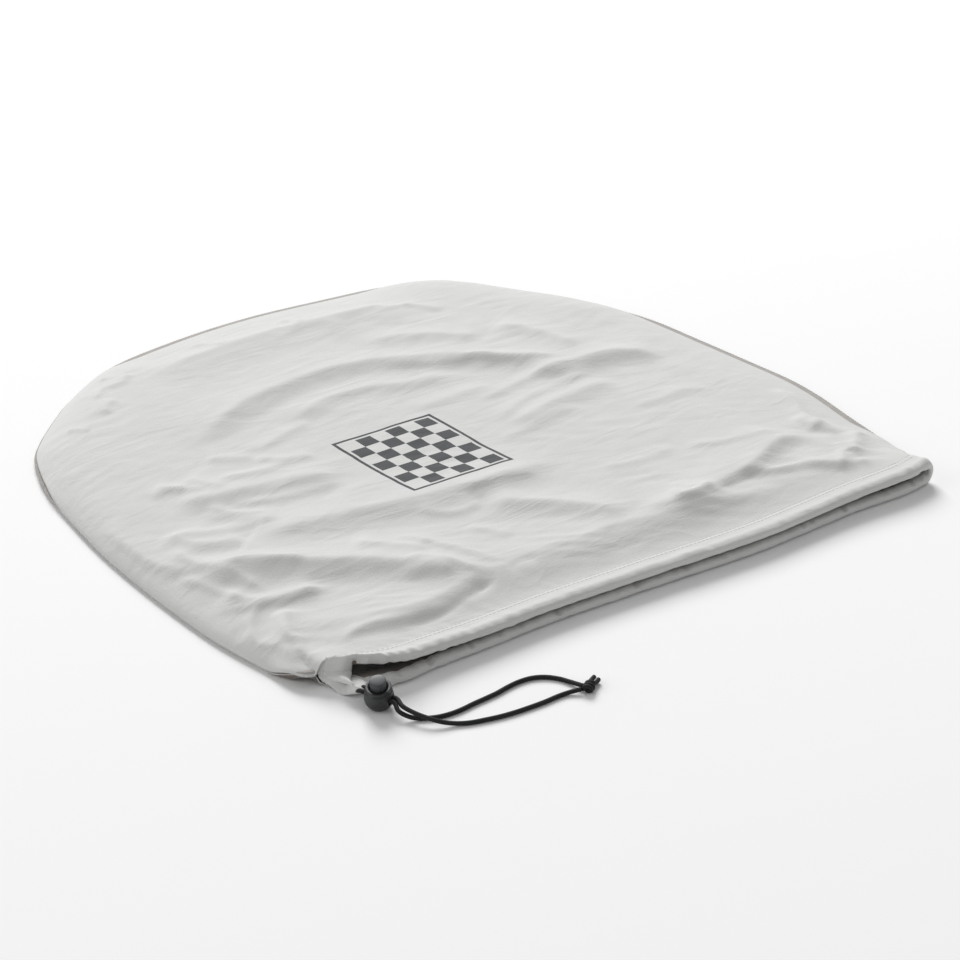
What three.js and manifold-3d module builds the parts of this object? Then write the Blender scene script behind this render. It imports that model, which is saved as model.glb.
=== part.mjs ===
// A drawstring sack for a motorcycle helmet, lying on its back panel. X runs along the mouth,
// Y from the mouth to the rounded base, Z up from the surface. Lengths are in millimetres.
import * as THREE from "three";
import { mergeVertices } from "three/addons/utils/BufferGeometryUtils.js";
import Module from "manifold-3d";

const wasm = await Module();
wasm.setup();

// Driving sizes of the sack
const bagWidth = 486;
const bagLength = 455;
const clothThickness = 1.2;
const puffHeight = 15.5;
const foldHeight = 6.5;
const shoulderNear = 9;
const shoulderFar = 19;
const seamThickness = 2;
const seamWidth = 5;
const seamShow = 1.5;

// Driving sizes of the drawstring casing round the mouth
const hemDepth = 16;
const hemHeight = 6.5;
const hemWall = 1.2;
const hemBackEdge = 2.4;
const mouthGap = 5.6;

// Driving sizes of the cord, its knot and its spring lock
const cordDiameter = 2.6;
const cordSpacing = 3.1;
const knotLength = 11;
const knotHeight = 6;
const lockDiameter = 16.4;
const lockHeight = 13.8;
const lockFloor = 1.4;
const buttonDiameter = 9;
const buttonRise = 4.8;
const buttonTravel = 3;

// Clearance between pieces that touch
const gap = 0.3;

const halfWidth = bagWidth / 2;
const cordRadius = cordDiameter / 2;

const cloth = { color: 0xd8d8d4, roughness: 0.95, metalness: 0 };
const seamCloth = { color: 0xb4b2ac, roughness: 0.95, metalness: 0 };
const blackCord = { color: 0x161616, roughness: 0.8, metalness: 0 };
const blackPlastic = { color: 0x2b2d2e, roughness: 0.45, metalness: 0 };
const greyPlastic = { color: 0x45494a, roughness: 0.5, metalness: 0 };

// Outline of the left and right sides, from the mouth to the base corners. along is a share of
// bagLength, out of half of bagWidth.
const LEFT_SIDE = [
  { along: 0.1043, out: 0.967 }, { along: 0.149, out: 0.982 }, { along: 0.2185, out: 0.997 },
  { along: 0.298, out: 1.0 }, { along: 0.3974, out: 0.996 }, { along: 0.4967, out: 0.983 },
  { along: 0.596, out: 0.957 }, { along: 0.6755, out: 0.93 }, { along: 0.735, out: 0.894 },
  { along: 0.785, out: 0.849 },
];
const RIGHT_SIDE = [
  { along: 0.1043, out: 0.934 }, { along: 0.149, out: 0.948 }, { along: 0.2185, out: 0.968 },
  { along: 0.298, out: 0.993 }, { along: 0.3576, out: 1.0 }, { along: 0.4371, out: 0.99 },
  { along: 0.5364, out: 0.975 }, { along: 0.6358, out: 0.957 }, { along: 0.6954, out: 0.926 },
  { along: 0.7749, out: 0.86 }, { along: 0.8345, out: 0.789 },
];

// Outline of the base in the same shares, from corner to corner. across is signed.
const BASE = [
  { across: -0.785, along: 0.825 }, { across: -0.705, along: 0.865 }, { across: -0.62, along: 0.903 },
  { across: -0.42, along: 0.967 }, { across: -0.2, along: 0.992 }, { across: 0.05, along: 1.0 },
  { across: 0.3, along: 0.988 }, { across: 0.5, along: 0.972 }, { across: 0.64, along: 0.941 },
  { across: 0.715, along: 0.898 },
];

// The mouth. setback is how far the casing's front edge lies behind the foremost point, as a
// share of hemDepth, and open is the gap between the two casings as a share of mouthGap.
const MOUTH = [
  { across: -0.922, setback: 0.8, open: 1.0 },
  { across: -0.86, setback: 0.5, open: 1.0 },
  { across: -0.765, setback: 0.16, open: 0.85 },
  { across: -0.675, setback: 0.25, open: 0.55 },
  { across: -0.506, setback: 0.3, open: 0.3 },
  { across: -0.321, setback: 0.38, open: 0.24 },
  { across: -0.152, setback: 0.3, open: 0.22 },
  { across: 0.03, setback: 0.18, open: 0.24 },
  { across: 0.2, setback: 0.04, open: 0.26 },
  { across: 0.33, setback: 0.0, open: 0.26 },
  { across: 0.506, setback: 0.14, open: 0.28 },
  { across: 0.64, setback: 0.22, open: 0.4 },
  { across: 0.8, setback: 0.16, open: 0.6 },
  { across: 0.893, setback: 0.4, open: 0.64 },
];

// Section of the casing, front edge first. deep is a share of hemDepth, high of half hemHeight.
const CASING = [
  { deep: 0.0, high: 0.0, hollowDeep: 0.085, hollowHigh: 0.0 },
  { deep: 0.07, high: 0.68, hollowDeep: 0.14, hollowHigh: 0.42 },
  { deep: 0.3, high: 1.0, hollowDeep: 0.3, hollowHigh: 0.6 },
  { deep: 0.64, high: 0.8, hollowDeep: 0.52, hollowHigh: 0.52 },
];

// Folds of the upper panel. Each runs from (x0, y0) over (x1, y1) to (x2, y2), x as a share of
// half of bagWidth and y of bagLength. Its right-hand flank falls over front and its left-hand
// flank over back, shares of bagLength, and rise is a share of foldHeight.
const FOLDS = [
  { name: "mouth ridge left", x0: -0.831, y0: 0.164, x1: -0.673, y1: 0.116, x2: -0.455, y2: 0.106,
    front: 0.03, back: 0.07, rise: 0.75 },
  { name: "mouth ridge middle", x0: -0.524, y0: 0.102, x1: -0.137, y1: 0.122, x2: 0.19, y2: 0.0983,
    front: 0.034, back: 0.08, rise: 0.85 },
  { name: "mouth ridge right", x0: 0.091, y0: 0.108, x1: 0.319, y1: 0.0914, x2: 0.468, y2: 0.0715,
    front: 0.026, back: 0.05, rise: 0.6 },
  { name: "long diagonal", x0: -0.861, y0: 0.339, x1: -0.683, y1: 0.264, x2: -0.415, y2: 0.144,
    front: 0.034, back: 0.1, rise: 1.0 },
  { name: "diagonal head", x0: -0.861, y0: 0.445, x1: -0.831, y1: 0.397, x2: -0.712, y2: 0.374,
    front: 0.03, back: 0.05, rise: 0.5 },
  { name: "ridge under the middle", x0: -0.752, y0: 0.369, x1: -0.306, y1: 0.328, x2: 0.17, y2: 0.316,
    front: 0.032, back: 0.07, rise: 0.75 },
  { name: "middle diagonal", x0: -0.157, y0: 0.275, x1: -0.02, y1: 0.214, x2: 0.071, y2: 0.13,
    front: 0.036, back: 0.09, rise: 0.75 },
  { name: "upper left ridge", x0: -0.782, y0: 0.509, x1: -0.554, y1: 0.478, x2: -0.345, y2: 0.441,
    front: 0.036, back: 0.06, rise: 0.6 },
  { name: "base ridge", x0: -0.455, y0: 0.866, x1: 0.002, y1: 0.887, x2: 0.468, y2: 0.835,
    front: 0.055, back: 0.04, rise: 0.85 },
  { name: "upper arc", x0: -0.603, y0: 0.635, x1: -0.097, y1: 0.724, x2: 0.329, y2: 0.643,
    front: 0.032, back: 0.06, rise: 0.75 },
  { name: "upper arc tail", x0: 0.309, y0: 0.65, x1: 0.488, y1: 0.581, x2: 0.646, y2: 0.537,
    front: 0.03, back: 0.05, rise: 0.5 },
  { name: "lower arc", x0: -0.306, y0: 0.616, x1: -0.038, y1: 0.651, x2: 0.279, y2: 0.616,
    front: 0.024, back: 0.035, rise: 0.5 },
  { name: "right ridge", x0: 0.349, y0: 0.553, x1: 0.607, y1: 0.537, x2: 0.805, y2: 0.491,
    front: 0.034, back: 0.05, rise: 0.65 },
  { name: "right low ridge", x0: 0.15, y0: 0.437, x1: 0.369, y1: 0.464, x2: 0.587, y2: 0.47,
    front: 0.03, back: 0.03, rise: 0.45 },
  { name: "right shoulder ridge", x0: 0.16, y0: 0.781, x1: 0.329, y1: 0.742, x2: 0.448, y2: 0.683,
    front: 0.036, back: 0.04, rise: 0.4 },
  { name: "pocket ridge", x0: 0.19, y0: 0.11, x1: 0.438, y1: 0.134, x2: 0.726, y2: 0.184,
    front: 0.022, back: 0.07, rise: 0.8 },
  { name: "corner ridge", x0: 0.448, y0: 0.137, x1: 0.607, y1: 0.11, x2: 0.765, y2: 0.0715,
    front: 0.02, back: 0.04, rise: 0.5 },
  { name: "left edge roll", x0: -0.891, y0: 0.421, x1: -0.876, y1: 0.322, x2: -0.812, y2: 0.236,
    front: 0.022, back: 0.022, rise: 0.45 },
  { name: "left edge spur", x0: -0.921, y0: 0.277, x1: -0.861, y1: 0.23, x2: -0.693, y2: 0.208,
    front: 0.026, back: 0.03, rise: 0.45 },
  { name: "right edge roll", x0: 0.835, y0: 0.159, x1: 0.845, y1: 0.246, x2: 0.899, y2: 0.334,
    front: 0.02, back: 0.05, rise: 0.45 },
  { name: "left pocket", x0: -0.762, y0: 0.0874, x1: -0.633, y1: 0.0815, x2: -0.484, y2: 0.0854,
    front: 0.018, back: 0.018, rise: -0.45 },
  { name: "right pocket", x0: 0.319, y0: 0.11, x1: 0.438, y1: 0.112, x2: 0.557, y2: 0.104,
    front: 0.018, back: 0.018, rise: -0.6 },
];

// Where the panels' grids have columns and rows, as shares of the way across and along, with the
// number of even columns between the close ones at the rims
const RIM_STEPS = [0, 0.0035, 0.011, 0.024, 0.045];
const topColumns = 24;
const bottomColumns = 6;
const TOP_ROWS = [0, 0.012, 0.034, 0.056, 0.078, 0.1, 0.122, 0.145, 0.17, 0.2, 0.23, 0.26, 0.29,
  0.32, 0.355, 0.39, 0.425, 0.46, 0.5, 0.54, 0.58, 0.615, 0.65, 0.685, 0.72, 0.755, 0.79, 0.825,
  0.86, 0.89, 0.915, 0.94, 0.96, 0.977, 0.99, 1];
const BOTTOM_ROWS = [0, 0.02, 0.045, 0.08, 0.13, 0.22, 0.35, 0.5, 0.65, 0.8, 0.92, 1];

// Route of each free end of the cord, before and after the lock. x and y are measured from the
// slit in the lower casing, z from the surface that the sack lies on.
const SLIT_TO_LOCK = {
  a: [[1.6, 2.2, 3.3], [1.6, -1.8, 3.5], [2.1, -7.6, 6.6]],
  b: [[-1.6, 2.2, 3.3], [-1.6, -1.8, 3.5], [-1.0, -8.4, 6.3]],
};
const LOCK_TO_KNOT = {
  a: [[13.0, -35.2, 6.8], [14.6, -40.8, 5.7], [16.8, -46.2, 5.0], [19.6, -51.2, 4.3],
    [23.8, -55.6, 3.0], [30.0, -59.4, 1.7], [37.0, -63.0, 1.4], [45.6, -65.6, 1.4],
    [54.8, -67.8, 1.4], [64.0, -69.0, 1.4], [73.6, -69.6, 1.4], [83.0, -69.8, 1.4],
    [92.0, -69.4, 1.4], [98.4, -70.0, 1.6], [105.0, -72.8, 2.8]],
  b: [[10.2, -35.8, 4.9], [12.8, -39.6, 2.9], [16.4, -42.6, 1.7], [21.0, -45.4, 1.4],
    [27.0, -48.2, 1.4], [34.2, -49.6, 1.4], [42.0, -49.6, 1.4], [50.4, -48.6, 1.4],
    [58.8, -48.0, 1.4], [67.4, -47.2, 1.4], [76.0, -45.6, 1.4], [84.6, -44.8, 1.4],
    [92.4, -45.8, 1.4], [99.0, -49.4, 1.4], [103.8, -55.2, 1.4], [106.4, -61.8, 1.6],
    [108.05, -70.6, 2.8]],
};
const slitAcross = -0.898;
const lockFromSlit = { x: 9.9, y: -19.0 };
const knotFromSlit = { x: 109.6, y: -73.3, turn: 0.51 };

// Section of the lock's barrel, bottom first. out is a share of its radius, up of its height.
const BARREL = [
  { out: 0.42, up: 0 }, { out: 0.7, up: 0.06 }, { out: 0.9, up: 0.2 }, { out: 1, up: 0.4 },
  { out: 0.97, up: 0.62 }, { out: 0.88, up: 0.86 }, { out: 0.86, up: 0.96 }, { out: 0.82, up: 1 },
];

// Reads a table's column between its rows, along a smooth curve through them.
function read(table, by, column, at) {
  const last = table.length - 1;
  let i = table.findIndex((row) => row[by] > at) - 1;
  if (i < 0) i = at <= table[0][by] ? 0 : last - 1;
  const a = table[i];
  const b = table[i + 1];
  const before = table[Math.max(i - 1, 0)];
  const after = table[Math.min(i + 2, last)];
  const span = b[by] - a[by];
  const t = Math.min(Math.max((at - a[by]) / span, 0), 1);
  const slopeA = ((b[column] - before[column]) / (b[by] - before[by])) * span;
  const slopeB = ((after[column] - a[column]) / (after[by] - a[by])) * span;
  return (2 * t ** 3 - 3 * t ** 2 + 1) * a[column] + (t ** 3 - 2 * t ** 2 + t) * slopeA
    + (3 * t ** 2 - 2 * t ** 3) * b[column] + (t ** 3 - t ** 2) * slopeB;
}

const smooth = (t) => {
  const s = Math.min(Math.max(t, 0), 1);
  return s * s * (3 - 2 * s);
};

const mix = (a, b, t) => a + (b - a) * t;

// The mouth in plan and height. The ends of the casing loop turn up and over, so there its
// height falls from the straight run to the middle of the loop.
const mouthLeft = MOUTH[0].across * halfWidth;
const mouthRight = MOUTH[MOUTH.length - 1].across * halfWidth;

const frontEdge = (x) => hemDepth * read(MOUTH, "across", "setback", x / halfWidth);
const backEdge = (x) => frontEdge(x) + hemDepth;
const opening = (x) => mouthGap * read(MOUTH, "across", "open", x / halfWidth);
const loopRadius = (x) => (hemHeight + opening(x)) / 2;
const loopMiddle = (x) => hemHeight + opening(x) / 2;

// Height of a casing's middle line above the loop's middle, side +1 for the upper casing.
function casingRise(x) {
  const r = loopRadius(x);
  const fromEnd = Math.min(x - mouthLeft, mouthRight - x);
  return fromEnd >= r ? r : Math.sqrt(Math.max(r * r - (r - fromEnd) ** 2, 0));
}

// Outline of the sack as three curves: the left side, the base and the right side.
const outlinePoint = (across, along) => new THREE.Vector3(across * halfWidth, along * bagLength, 0);
const leftStart = new THREE.Vector3(mouthLeft, backEdge(mouthLeft) + gap, 0);
const rightStart = new THREE.Vector3(mouthRight, backEdge(mouthRight) + gap, 0);
const basePoints = BASE.map((row) => outlinePoint(row.across, row.along));
const base = new THREE.CatmullRomCurve3(basePoints);
const sideCurve = (start, table, side, corner) => {
  const rows = table.filter((row) => row.along * bagLength > start.y + hemDepth);
  return new THREE.CatmullRomCurve3(
    [start, ...rows.map((row) => outlinePoint(side * row.out, row.along)), corner]);
};
const leftSide = sideCurve(leftStart, LEFT_SIDE, -1, basePoints[0]);
const rightSide = sideCurve(rightStart, RIGHT_SIDE, 1, basePoints[basePoints.length - 1]);
const outlineSteps = 60;
const rim = [
  ...leftSide.getSpacedPoints(outlineSteps),
  ...base.getSpacedPoints(outlineSteps).slice(1),
  ...rightSide.getSpacedPoints(outlineSteps).reverse().slice(1),
];

// Middle line of each fold, as short straight steps.
const foldSteps = 16;
const foldLines = FOLDS.map((fold) => {
  const from = outlinePoint(fold.x0, fold.y0);
  const over = outlinePoint(fold.x1, fold.y1);
  const to = outlinePoint(fold.x2, fold.y2);
  const control = over.clone().multiplyScalar(2).addScaledVector(from, -0.5).addScaledVector(to, -0.5);
  return new THREE.QuadraticBezierCurve3(from, control, to).getPoints(foldSteps);
});

// Nearest place on a line of points: how far off, how far along, and on which hand it is passed.
function nearest(line, x, y) {
  let best = { distance: Infinity, along: 0, hand: 1 };
  for (let i = 0; i + 1 < line.length; i += 1) {
    const dx = line[i + 1].x - line[i].x;
    const dy = line[i + 1].y - line[i].y;
    const ox = x - line[i].x;
    const oy = y - line[i].y;
    const t = Math.min(Math.max((ox * dx + oy * dy) / (dx * dx + dy * dy), 0), 1);
    const distance = Math.hypot(ox - t * dx, oy - t * dy);
    if (distance < best.distance) {
      best = { distance, along: (i + t) / (line.length - 1), hand: Math.sign(dx * oy - dy * ox) };
    }
  }
  return best;
}

const rimDistance = (x, y) => nearest(rim, x, y).distance;

// Height of one fold at a point: a ridge with its own two flanks, fading out at both ends.
const foldEnd = 0.22;
function foldRise(fold, line, x, y) {
  const { distance, along, hand } = nearest(line, x, y);
  const flank = (hand > 0 ? fold.back : fold.front) * bagLength;
  const ends = smooth(along / foldEnd) * smooth((1 - along) / foldEnd);
  return foldHeight * fold.rise * ends * Math.exp(-((distance / flank) ** 2));
}

// Height of the seam line between the panels: low along the sides, up to the loop's middle
// where the panels meet the ends of the casing.
const cornerLength = 30;
const lowSeam = clothThickness + gap + seamThickness / 2;
function seamHeight(x, y) {
  const end = x < 0 ? mouthLeft : mouthRight;
  const t = smooth((y - backEdge(end) - gap) / cornerLength);
  return mix(loopMiddle(end), lowSeam, t);
}

// Half of what lies between the panels' rims: the seam strip, or only the gap at the mouth.
function seamRoom(x, y) {
  const end = x < 0 ? mouthLeft : mouthRight;
  return mix(gap / 2, gap + seamThickness / 2, smooth((y - backEdge(end) - gap) / cornerLength));
}

// Height of the upper panel's outer face.
function topHeight(x, y) {
  const distance = rimDistance(x, y);
  const rimTop = seamHeight(x, y) + seamRoom(x, y) + clothThickness;
  const shoulder = mix(shoulderFar, shoulderNear, smooth(-x / halfWidth - 0.2));
  const full = mix(rimTop, puffHeight, 1 - Math.exp(-distance / shoulder));
  const edgeFade = smooth(distance / shoulder);
  const folds = FOLDS.reduce((sum, fold, i) => sum + foldRise(fold, foldLines[i], x, y), 0);
  const field = full + folds * edgeFade;
  const hemTop = loopMiddle(x) + casingRise(x) + clothThickness / 2;
  return mix(hemTop, field, smooth((y - backEdge(x)) / (1.6 * hemDepth)));
}

// Height of the lower panel's outer face: flat, with its rim rolled up to the seam, and its front
// edge following the casing up where the loop ends.
function bottomHeight(x, y) {
  const lift = Math.max(seamHeight(x, y) - seamRoom(x, y) - clothThickness, 0);
  const inside = Math.max(lift - rimDistance(x, y), 0);
  const rolled = lift - Math.sqrt(lift ** 2 - inside ** 2);
  const front = loopRadius(x) - casingRise(x);
  const end = x < 0 ? mouthLeft : mouthRight;
  const behind = Math.max((y - backEdge(end) - gap) / cornerLength, (y - backEdge(x)) / hemDepth);
  return mix(front, rolled, smooth(behind));
}

// Maps a share across and a share along to a point inside the outline.
function panelPoint(s, v) {
  const x = mix(mouthLeft, mouthRight, s);
  const mouth = new THREE.Vector3(x, backEdge(x) + gap, 0);
  const left = leftSide.getPointAt(v);
  const right = rightSide.getPointAt(v);
  const far = base.getPointAt(s);
  const corners = [leftStart, rightStart, base.getPoint(0), base.getPoint(1)];
  const weights = [(1 - s) * (1 - v), s * (1 - v), (1 - s) * v, s * v];
  const point = mouth.multiplyScalar(1 - v).addScaledVector(far, v)
    .addScaledVector(left, 1 - s).addScaledVector(right, s);
  corners.forEach((corner, i) => point.addScaledVector(corner, -weights[i]));
  return point;
}

function meshOf(name, geometry, look) {
  const mesh = new THREE.Mesh(geometry, new THREE.MeshStandardMaterial(look));
  mesh.name = name;
  return mesh;
}

function geometryOf(points, faces) {
  const geometry = new THREE.BufferGeometry();
  const flat = points.flatMap((p) => [p.x, p.y, p.z]);
  geometry.setAttribute("position", new THREE.Float32BufferAttribute(flat, 3));
  geometry.setIndex(faces.flat());
  return geometry;
}

// A sheet with a wall: the outer face from a grid of points, the inner face along its normals.
// up is +1 where the outer face looks up and -1 where it looks down.
function sheet(grid, thickness, up) {
  const rows = grid.length;
  const columns = grid[0].length;
  const at = (r, c) => grid[Math.min(Math.max(r, 0), rows - 1)][Math.min(Math.max(c, 0), columns - 1)];
  const outer = grid.flat();
  const inner = grid.flatMap((row, r) => row.map((point, c) => {
    const across = at(r, c + 1).clone().sub(at(r, c - 1));
    const along = at(r + 1, c).clone().sub(at(r - 1, c));
    const normal = across.cross(along).normalize();
    return point.clone().addScaledVector(normal, -thickness * up);
  }));
  const total = rows * columns;
  const faces = [];
  const quad = (a, b, c, d) => faces.push(up > 0 ? [a, b, c, a, c, d] : [a, c, b, a, d, c]);
  for (let r = 0; r + 1 < rows; r += 1) {
    for (let c = 0; c + 1 < columns; c += 1) {
      const a = r * columns + c;
      quad(a, a + 1, a + columns + 1, a + columns);
      quad(total + a, total + a + columns, total + a + columns + 1, total + a + 1);
    }
  }
  const edge = (a, b) => quad(a, total + a, total + b, b);
  for (let c = 0; c + 1 < columns; c += 1) {
    edge(c, c + 1);
    edge((rows - 1) * columns + c + 1, (rows - 1) * columns + c);
  }
  for (let r = 0; r + 1 < rows; r += 1) {
    edge((r + 1) * columns, r * columns);
    edge(r * columns + columns - 1, (r + 1) * columns + columns - 1);
  }
  return geometryOf([...outer, ...inner], faces);
}

// Shares across: close steps at both rims, even steps between them.
function columnShares(count) {
  const last = RIM_STEPS[RIM_STEPS.length - 1];
  const even = Array.from({ length: count }, (_, i) => mix(last, 1 - last, (i + 1) / (count + 1)));
  return [...RIM_STEPS, ...even, ...RIM_STEPS.map((share) => 1 - share).reverse()];
}

function panelGrid(rows, columns, height) {
  return rows.map((v) => columnShares(columns).map((s) => {
    const point = panelPoint(s, v);
    return point.setZ(height(point.x, point.y));
  }));
}

function topPanel() {
  const grid = panelGrid(TOP_ROWS, topColumns, topHeight);
  return meshOf("top_panel", sheet(grid, clothThickness, 1), cloth);
}

function bottomPanel() {
  const grid = panelGrid(BOTTOM_ROWS, bottomColumns, bottomHeight);
  return meshOf("bottom_panel", sheet(grid, clothThickness, -1), cloth);
}

// Joins rings of equal length into a closed body. Each ring lists its outer points and then, on
// a hollow body, its inner points, and the two ends are closed between them.
function loft(rings, hollow) {
  const size = rings[0].length;
  const half = hollow ? size / 2 : size;
  const faces = [];
  const quad = (a, b, c, d) => faces.push([a, b, c, a, c, d]);
  for (let r = 0; r + 1 < rings.length; r += 1) {
    for (let i = 0; i < half; i += 1) {
      const next = (i + 1) % half;
      quad(r * size + i, r * size + next, (r + 1) * size + next, (r + 1) * size + i);
      if (hollow) {
        const a = r * size + half;
        quad(a + next, a + i, a + size + i, a + size + next);
      }
    }
  }
  const end = (rings.length - 1) * size;
  for (let i = 0; i < half; i += 1) {
    const next = (i + 1) % half;
    if (hollow) {
      quad(next, i, half + i, half + next);
      quad(end + i, end + next, end + half + next, end + half + i);
    } else if (i > 0 && i + 1 < half) {
      faces.push([0, i + 1, i], [end, end + i, end + i + 1]);
    }
  }
  return geometryOf(rings.flat(), faces);
}

// Places across the mouth where the casing has a section, closer together round the loop's ends.
function casingPlaces() {
  const turn = [0, 0.03, 0.12, 0.3, 0.6, 1].map((share) => share * loopRadius(mouthLeft));
  const straight = columnShares(topColumns).map((share) => mix(mouthLeft, mouthRight, share))
    .filter((x) => Math.min(x - mouthLeft, mouthRight - x) > turn[turn.length - 1] + 1);
  return [...turn.map((x) => mouthLeft + x), ...straight, ...turn.map((x) => mouthRight - x).reverse()];
}

// One ring of the casing's section at a place across the mouth. side is +1 for the upper casing.
function casingRing(x, side) {
  const r = loopRadius(x);
  const fromEnd = Math.min(x - mouthLeft, mouthRight - x);
  const turned = fromEnd >= r ? 0 : Math.acos(Math.min(1, casingRise(x) / r));
  const outward = new THREE.Vector3(Math.sign(x) * Math.sin(turned), 0, side * Math.cos(turned));
  const middle = new THREE.Vector3(x, frontEdge(x), loopMiddle(x) + side * casingRise(x));
  if (fromEnd < gap) middle.z += side * gap / 2;
  const place = (deep, high) => middle.clone().addScaledVector(outward, high * hemHeight / 2)
    .add(new THREE.Vector3(0, deep * hemDepth, 0));
  const back = hemBackEdge / hemHeight;
  const inside = (hemBackEdge / 2 - hemWall / 2) / hemHeight;
  const upper = [...CASING, { deep: 1, high: back, hollowDeep: 0.7, hollowHigh: inside }];
  const lower = upper.slice(1).reverse();
  return [
    ...upper.map((p) => place(p.deep, p.high)),
    ...lower.map((p) => place(p.deep, -p.high)),
    ...upper.map((p) => place(p.hollowDeep, p.hollowHigh)),
    ...lower.map((p) => place(p.hollowDeep, -p.hollowHigh)),
  ];
}

function casing(side) {
  const rings = casingPlaces().map((x) => casingRing(x, side));
  return loft(side > 0 ? rings.reverse() : rings, true);
}

const solidOf = (geometry) => {
  const bare = geometry.clone();
  bare.deleteAttribute("normal");
  bare.deleteAttribute("uv");
  const merged = mergeVertices(bare, 1e-4);
  return new wasm.Manifold(new wasm.Mesh({
    numProp: 3,
    vertProperties: new Float32Array(merged.attributes.position.array),
    triVerts: new Uint32Array(merged.index.array),
  }));
};

function geometryFrom(solid) {
  const { vertProperties, triVerts } = solid.getMesh();
  const geometry = new THREE.BufferGeometry();
  geometry.setAttribute("position", new THREE.Float32BufferAttribute(vertProperties, 3));
  geometry.setIndex([...triVerts]);
  return geometry;
}

// The slit in the lower casing's front wall, where both ends of the cord come out.
const slitX = slitAcross * halfWidth;
const slit = new THREE.Vector3(slitX, frontEdge(slitX), hemHeight / 2);

function hemLower() {
  const width = cordSpacing + cordDiameter + 2 * gap;
  const cutter = new THREE.BoxGeometry(width, hemDepth * 0.5, cordDiameter + 2 * gap);
  cutter.translate(slit.x, slit.y, slit.z);
  return meshOf("hem_lower", geometryFrom(solidOf(casing(-1)).subtract(solidOf(cutter))), cloth);
}

function hemUpper() {
  return meshOf("hem_upper", casing(1), cloth);
}

// A tube with a section at each point of its route.
class Route extends THREE.CatmullRomCurve3 {
  getPointAt(t, target) {
    return this.getPoint(t, target);
  }

  getTangentAt(t, target) {
    return this.getTangent(t, target);
  }
}

const cordSides = 8;
function tube(points, radius, sides) {
  const section = new THREE.Shape();
  section.setFromPoints(Array.from({ length: sides }, (_, i) => {
    const angle = (i / sides) * 2 * Math.PI;
    return new THREE.Vector2(radius * Math.cos(angle), radius * Math.sin(angle));
  }));
  return new THREE.ExtrudeGeometry(section, {
    steps: points.length - 1,
    extrudePath: new Route(points, false, "centripetal"),
    curveSegments: 1,
  });
}

// The cord inside the casing: from the slit round the left end, along the upper casing, round
// the right end and back along the lower casing to the slit.
const cordDeep = hemDepth * 0.32;
const cordSpans = 18;
const turnAngles = [-60, -30, 0, 30, 60];

function cordTurn(end, inward) {
  const r = loopRadius(end);
  return turnAngles.map((degrees) => {
    const angle = THREE.MathUtils.degToRad(degrees);
    const x = end + inward * r * (1 - Math.cos(angle));
    return new THREE.Vector3(x, frontEdge(end) + cordDeep, loopMiddle(end) + r * Math.sin(angle));
  });
}

function cordRun(from, to, spans, side) {
  return Array.from({ length: spans + 1 }, (_, i) => {
    const x = mix(from, to, i / spans);
    return new THREE.Vector3(x, frontEdge(x) + cordDeep, loopMiddle(x) + side * casingRise(x));
  });
}

function drawcord() {
  const fromSlit = cordSpacing / 2 + cordDiameter;
  const left = mouthLeft + loopRadius(mouthLeft) + cordRadius;
  const right = mouthRight - loopRadius(mouthRight) - cordRadius;
  const points = [
    ...cordRun(slit.x - fromSlit, left, 1, -1),
    ...cordTurn(mouthLeft, 1),
    ...cordRun(left, right, cordSpans, 1),
    ...cordTurn(mouthRight, -1).reverse(),
    ...cordRun(right, slit.x + fromSlit, cordSpans - 1, -1),
  ];
  return meshOf("drawcord", tube(points, cordRadius, cordSides), blackCord);
}

// The lock stands on the surface in front of the slit. Its axis leans, and the cords run through
// it square to that axis, in a window across the barrel and a slot across the button.
const lockAxis = new THREE.Vector3(-0.19, -0.16, 0.969).normalize();
const lockThrough = new THREE.Vector3(0.4, -0.92, 0).projectOnPlane(lockAxis).normalize();
const lockAcross = new THREE.Vector3().crossVectors(lockAxis, lockThrough);
const lockBore = buttonDiameter / 2 + gap;
const lockLip = 0.9;
const buttonFoot = 1.2;
const buttonBottom = lockFloor + gap + buttonTravel;
const cordHeight = buttonBottom + buttonFoot + gap + cordRadius;
const windowWidth = cordSpacing + cordDiameter + 2 * gap;
const windowPlay = 1;
const baseLift = Math.hypot(lockAxis.x, lockAxis.y) * BARREL[0].out * lockDiameter / 2;
const lockPlace = new THREE.Vector3(slit.x + lockFromSlit.x, slit.y + lockFromSlit.y, baseLift);
const passageShares = [-0.62, -0.3, 0.3, 0.62];

// A free end of the cord: out of the slit, straight through the lock and on to the knot.
function strand(name, side, route) {
  const fromSlit = ([x, y, z]) => new THREE.Vector3(slit.x + x, slit.y + y, z);
  const passage = passageShares.map((share) => lockPlace.clone()
    .addScaledVector(lockAxis, cordHeight)
    .addScaledVector(lockAcross, side * cordSpacing / 2)
    .addScaledVector(lockThrough, share * lockDiameter));
  const points = [...SLIT_TO_LOCK[route].map(fromSlit), ...passage, ...LOCK_TO_KNOT[route].map(fromSlit)];
  return meshOf(name, tube(points, cordRadius, cordSides), blackCord);
}

function lathe(profile, sides) {
  const geometry = new THREE.LatheGeometry(profile.map(([r, z]) => new THREE.Vector2(r, z)), sides);
  return geometry.rotateX(Math.PI / 2);
}

// A box across a turned piece, from one height to another.
function crossCut(length, bottom, top) {
  const cut = new THREE.BoxGeometry(length, windowWidth, top - bottom);
  return cut.translate(0, 0, (bottom + top) / 2);
}

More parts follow.
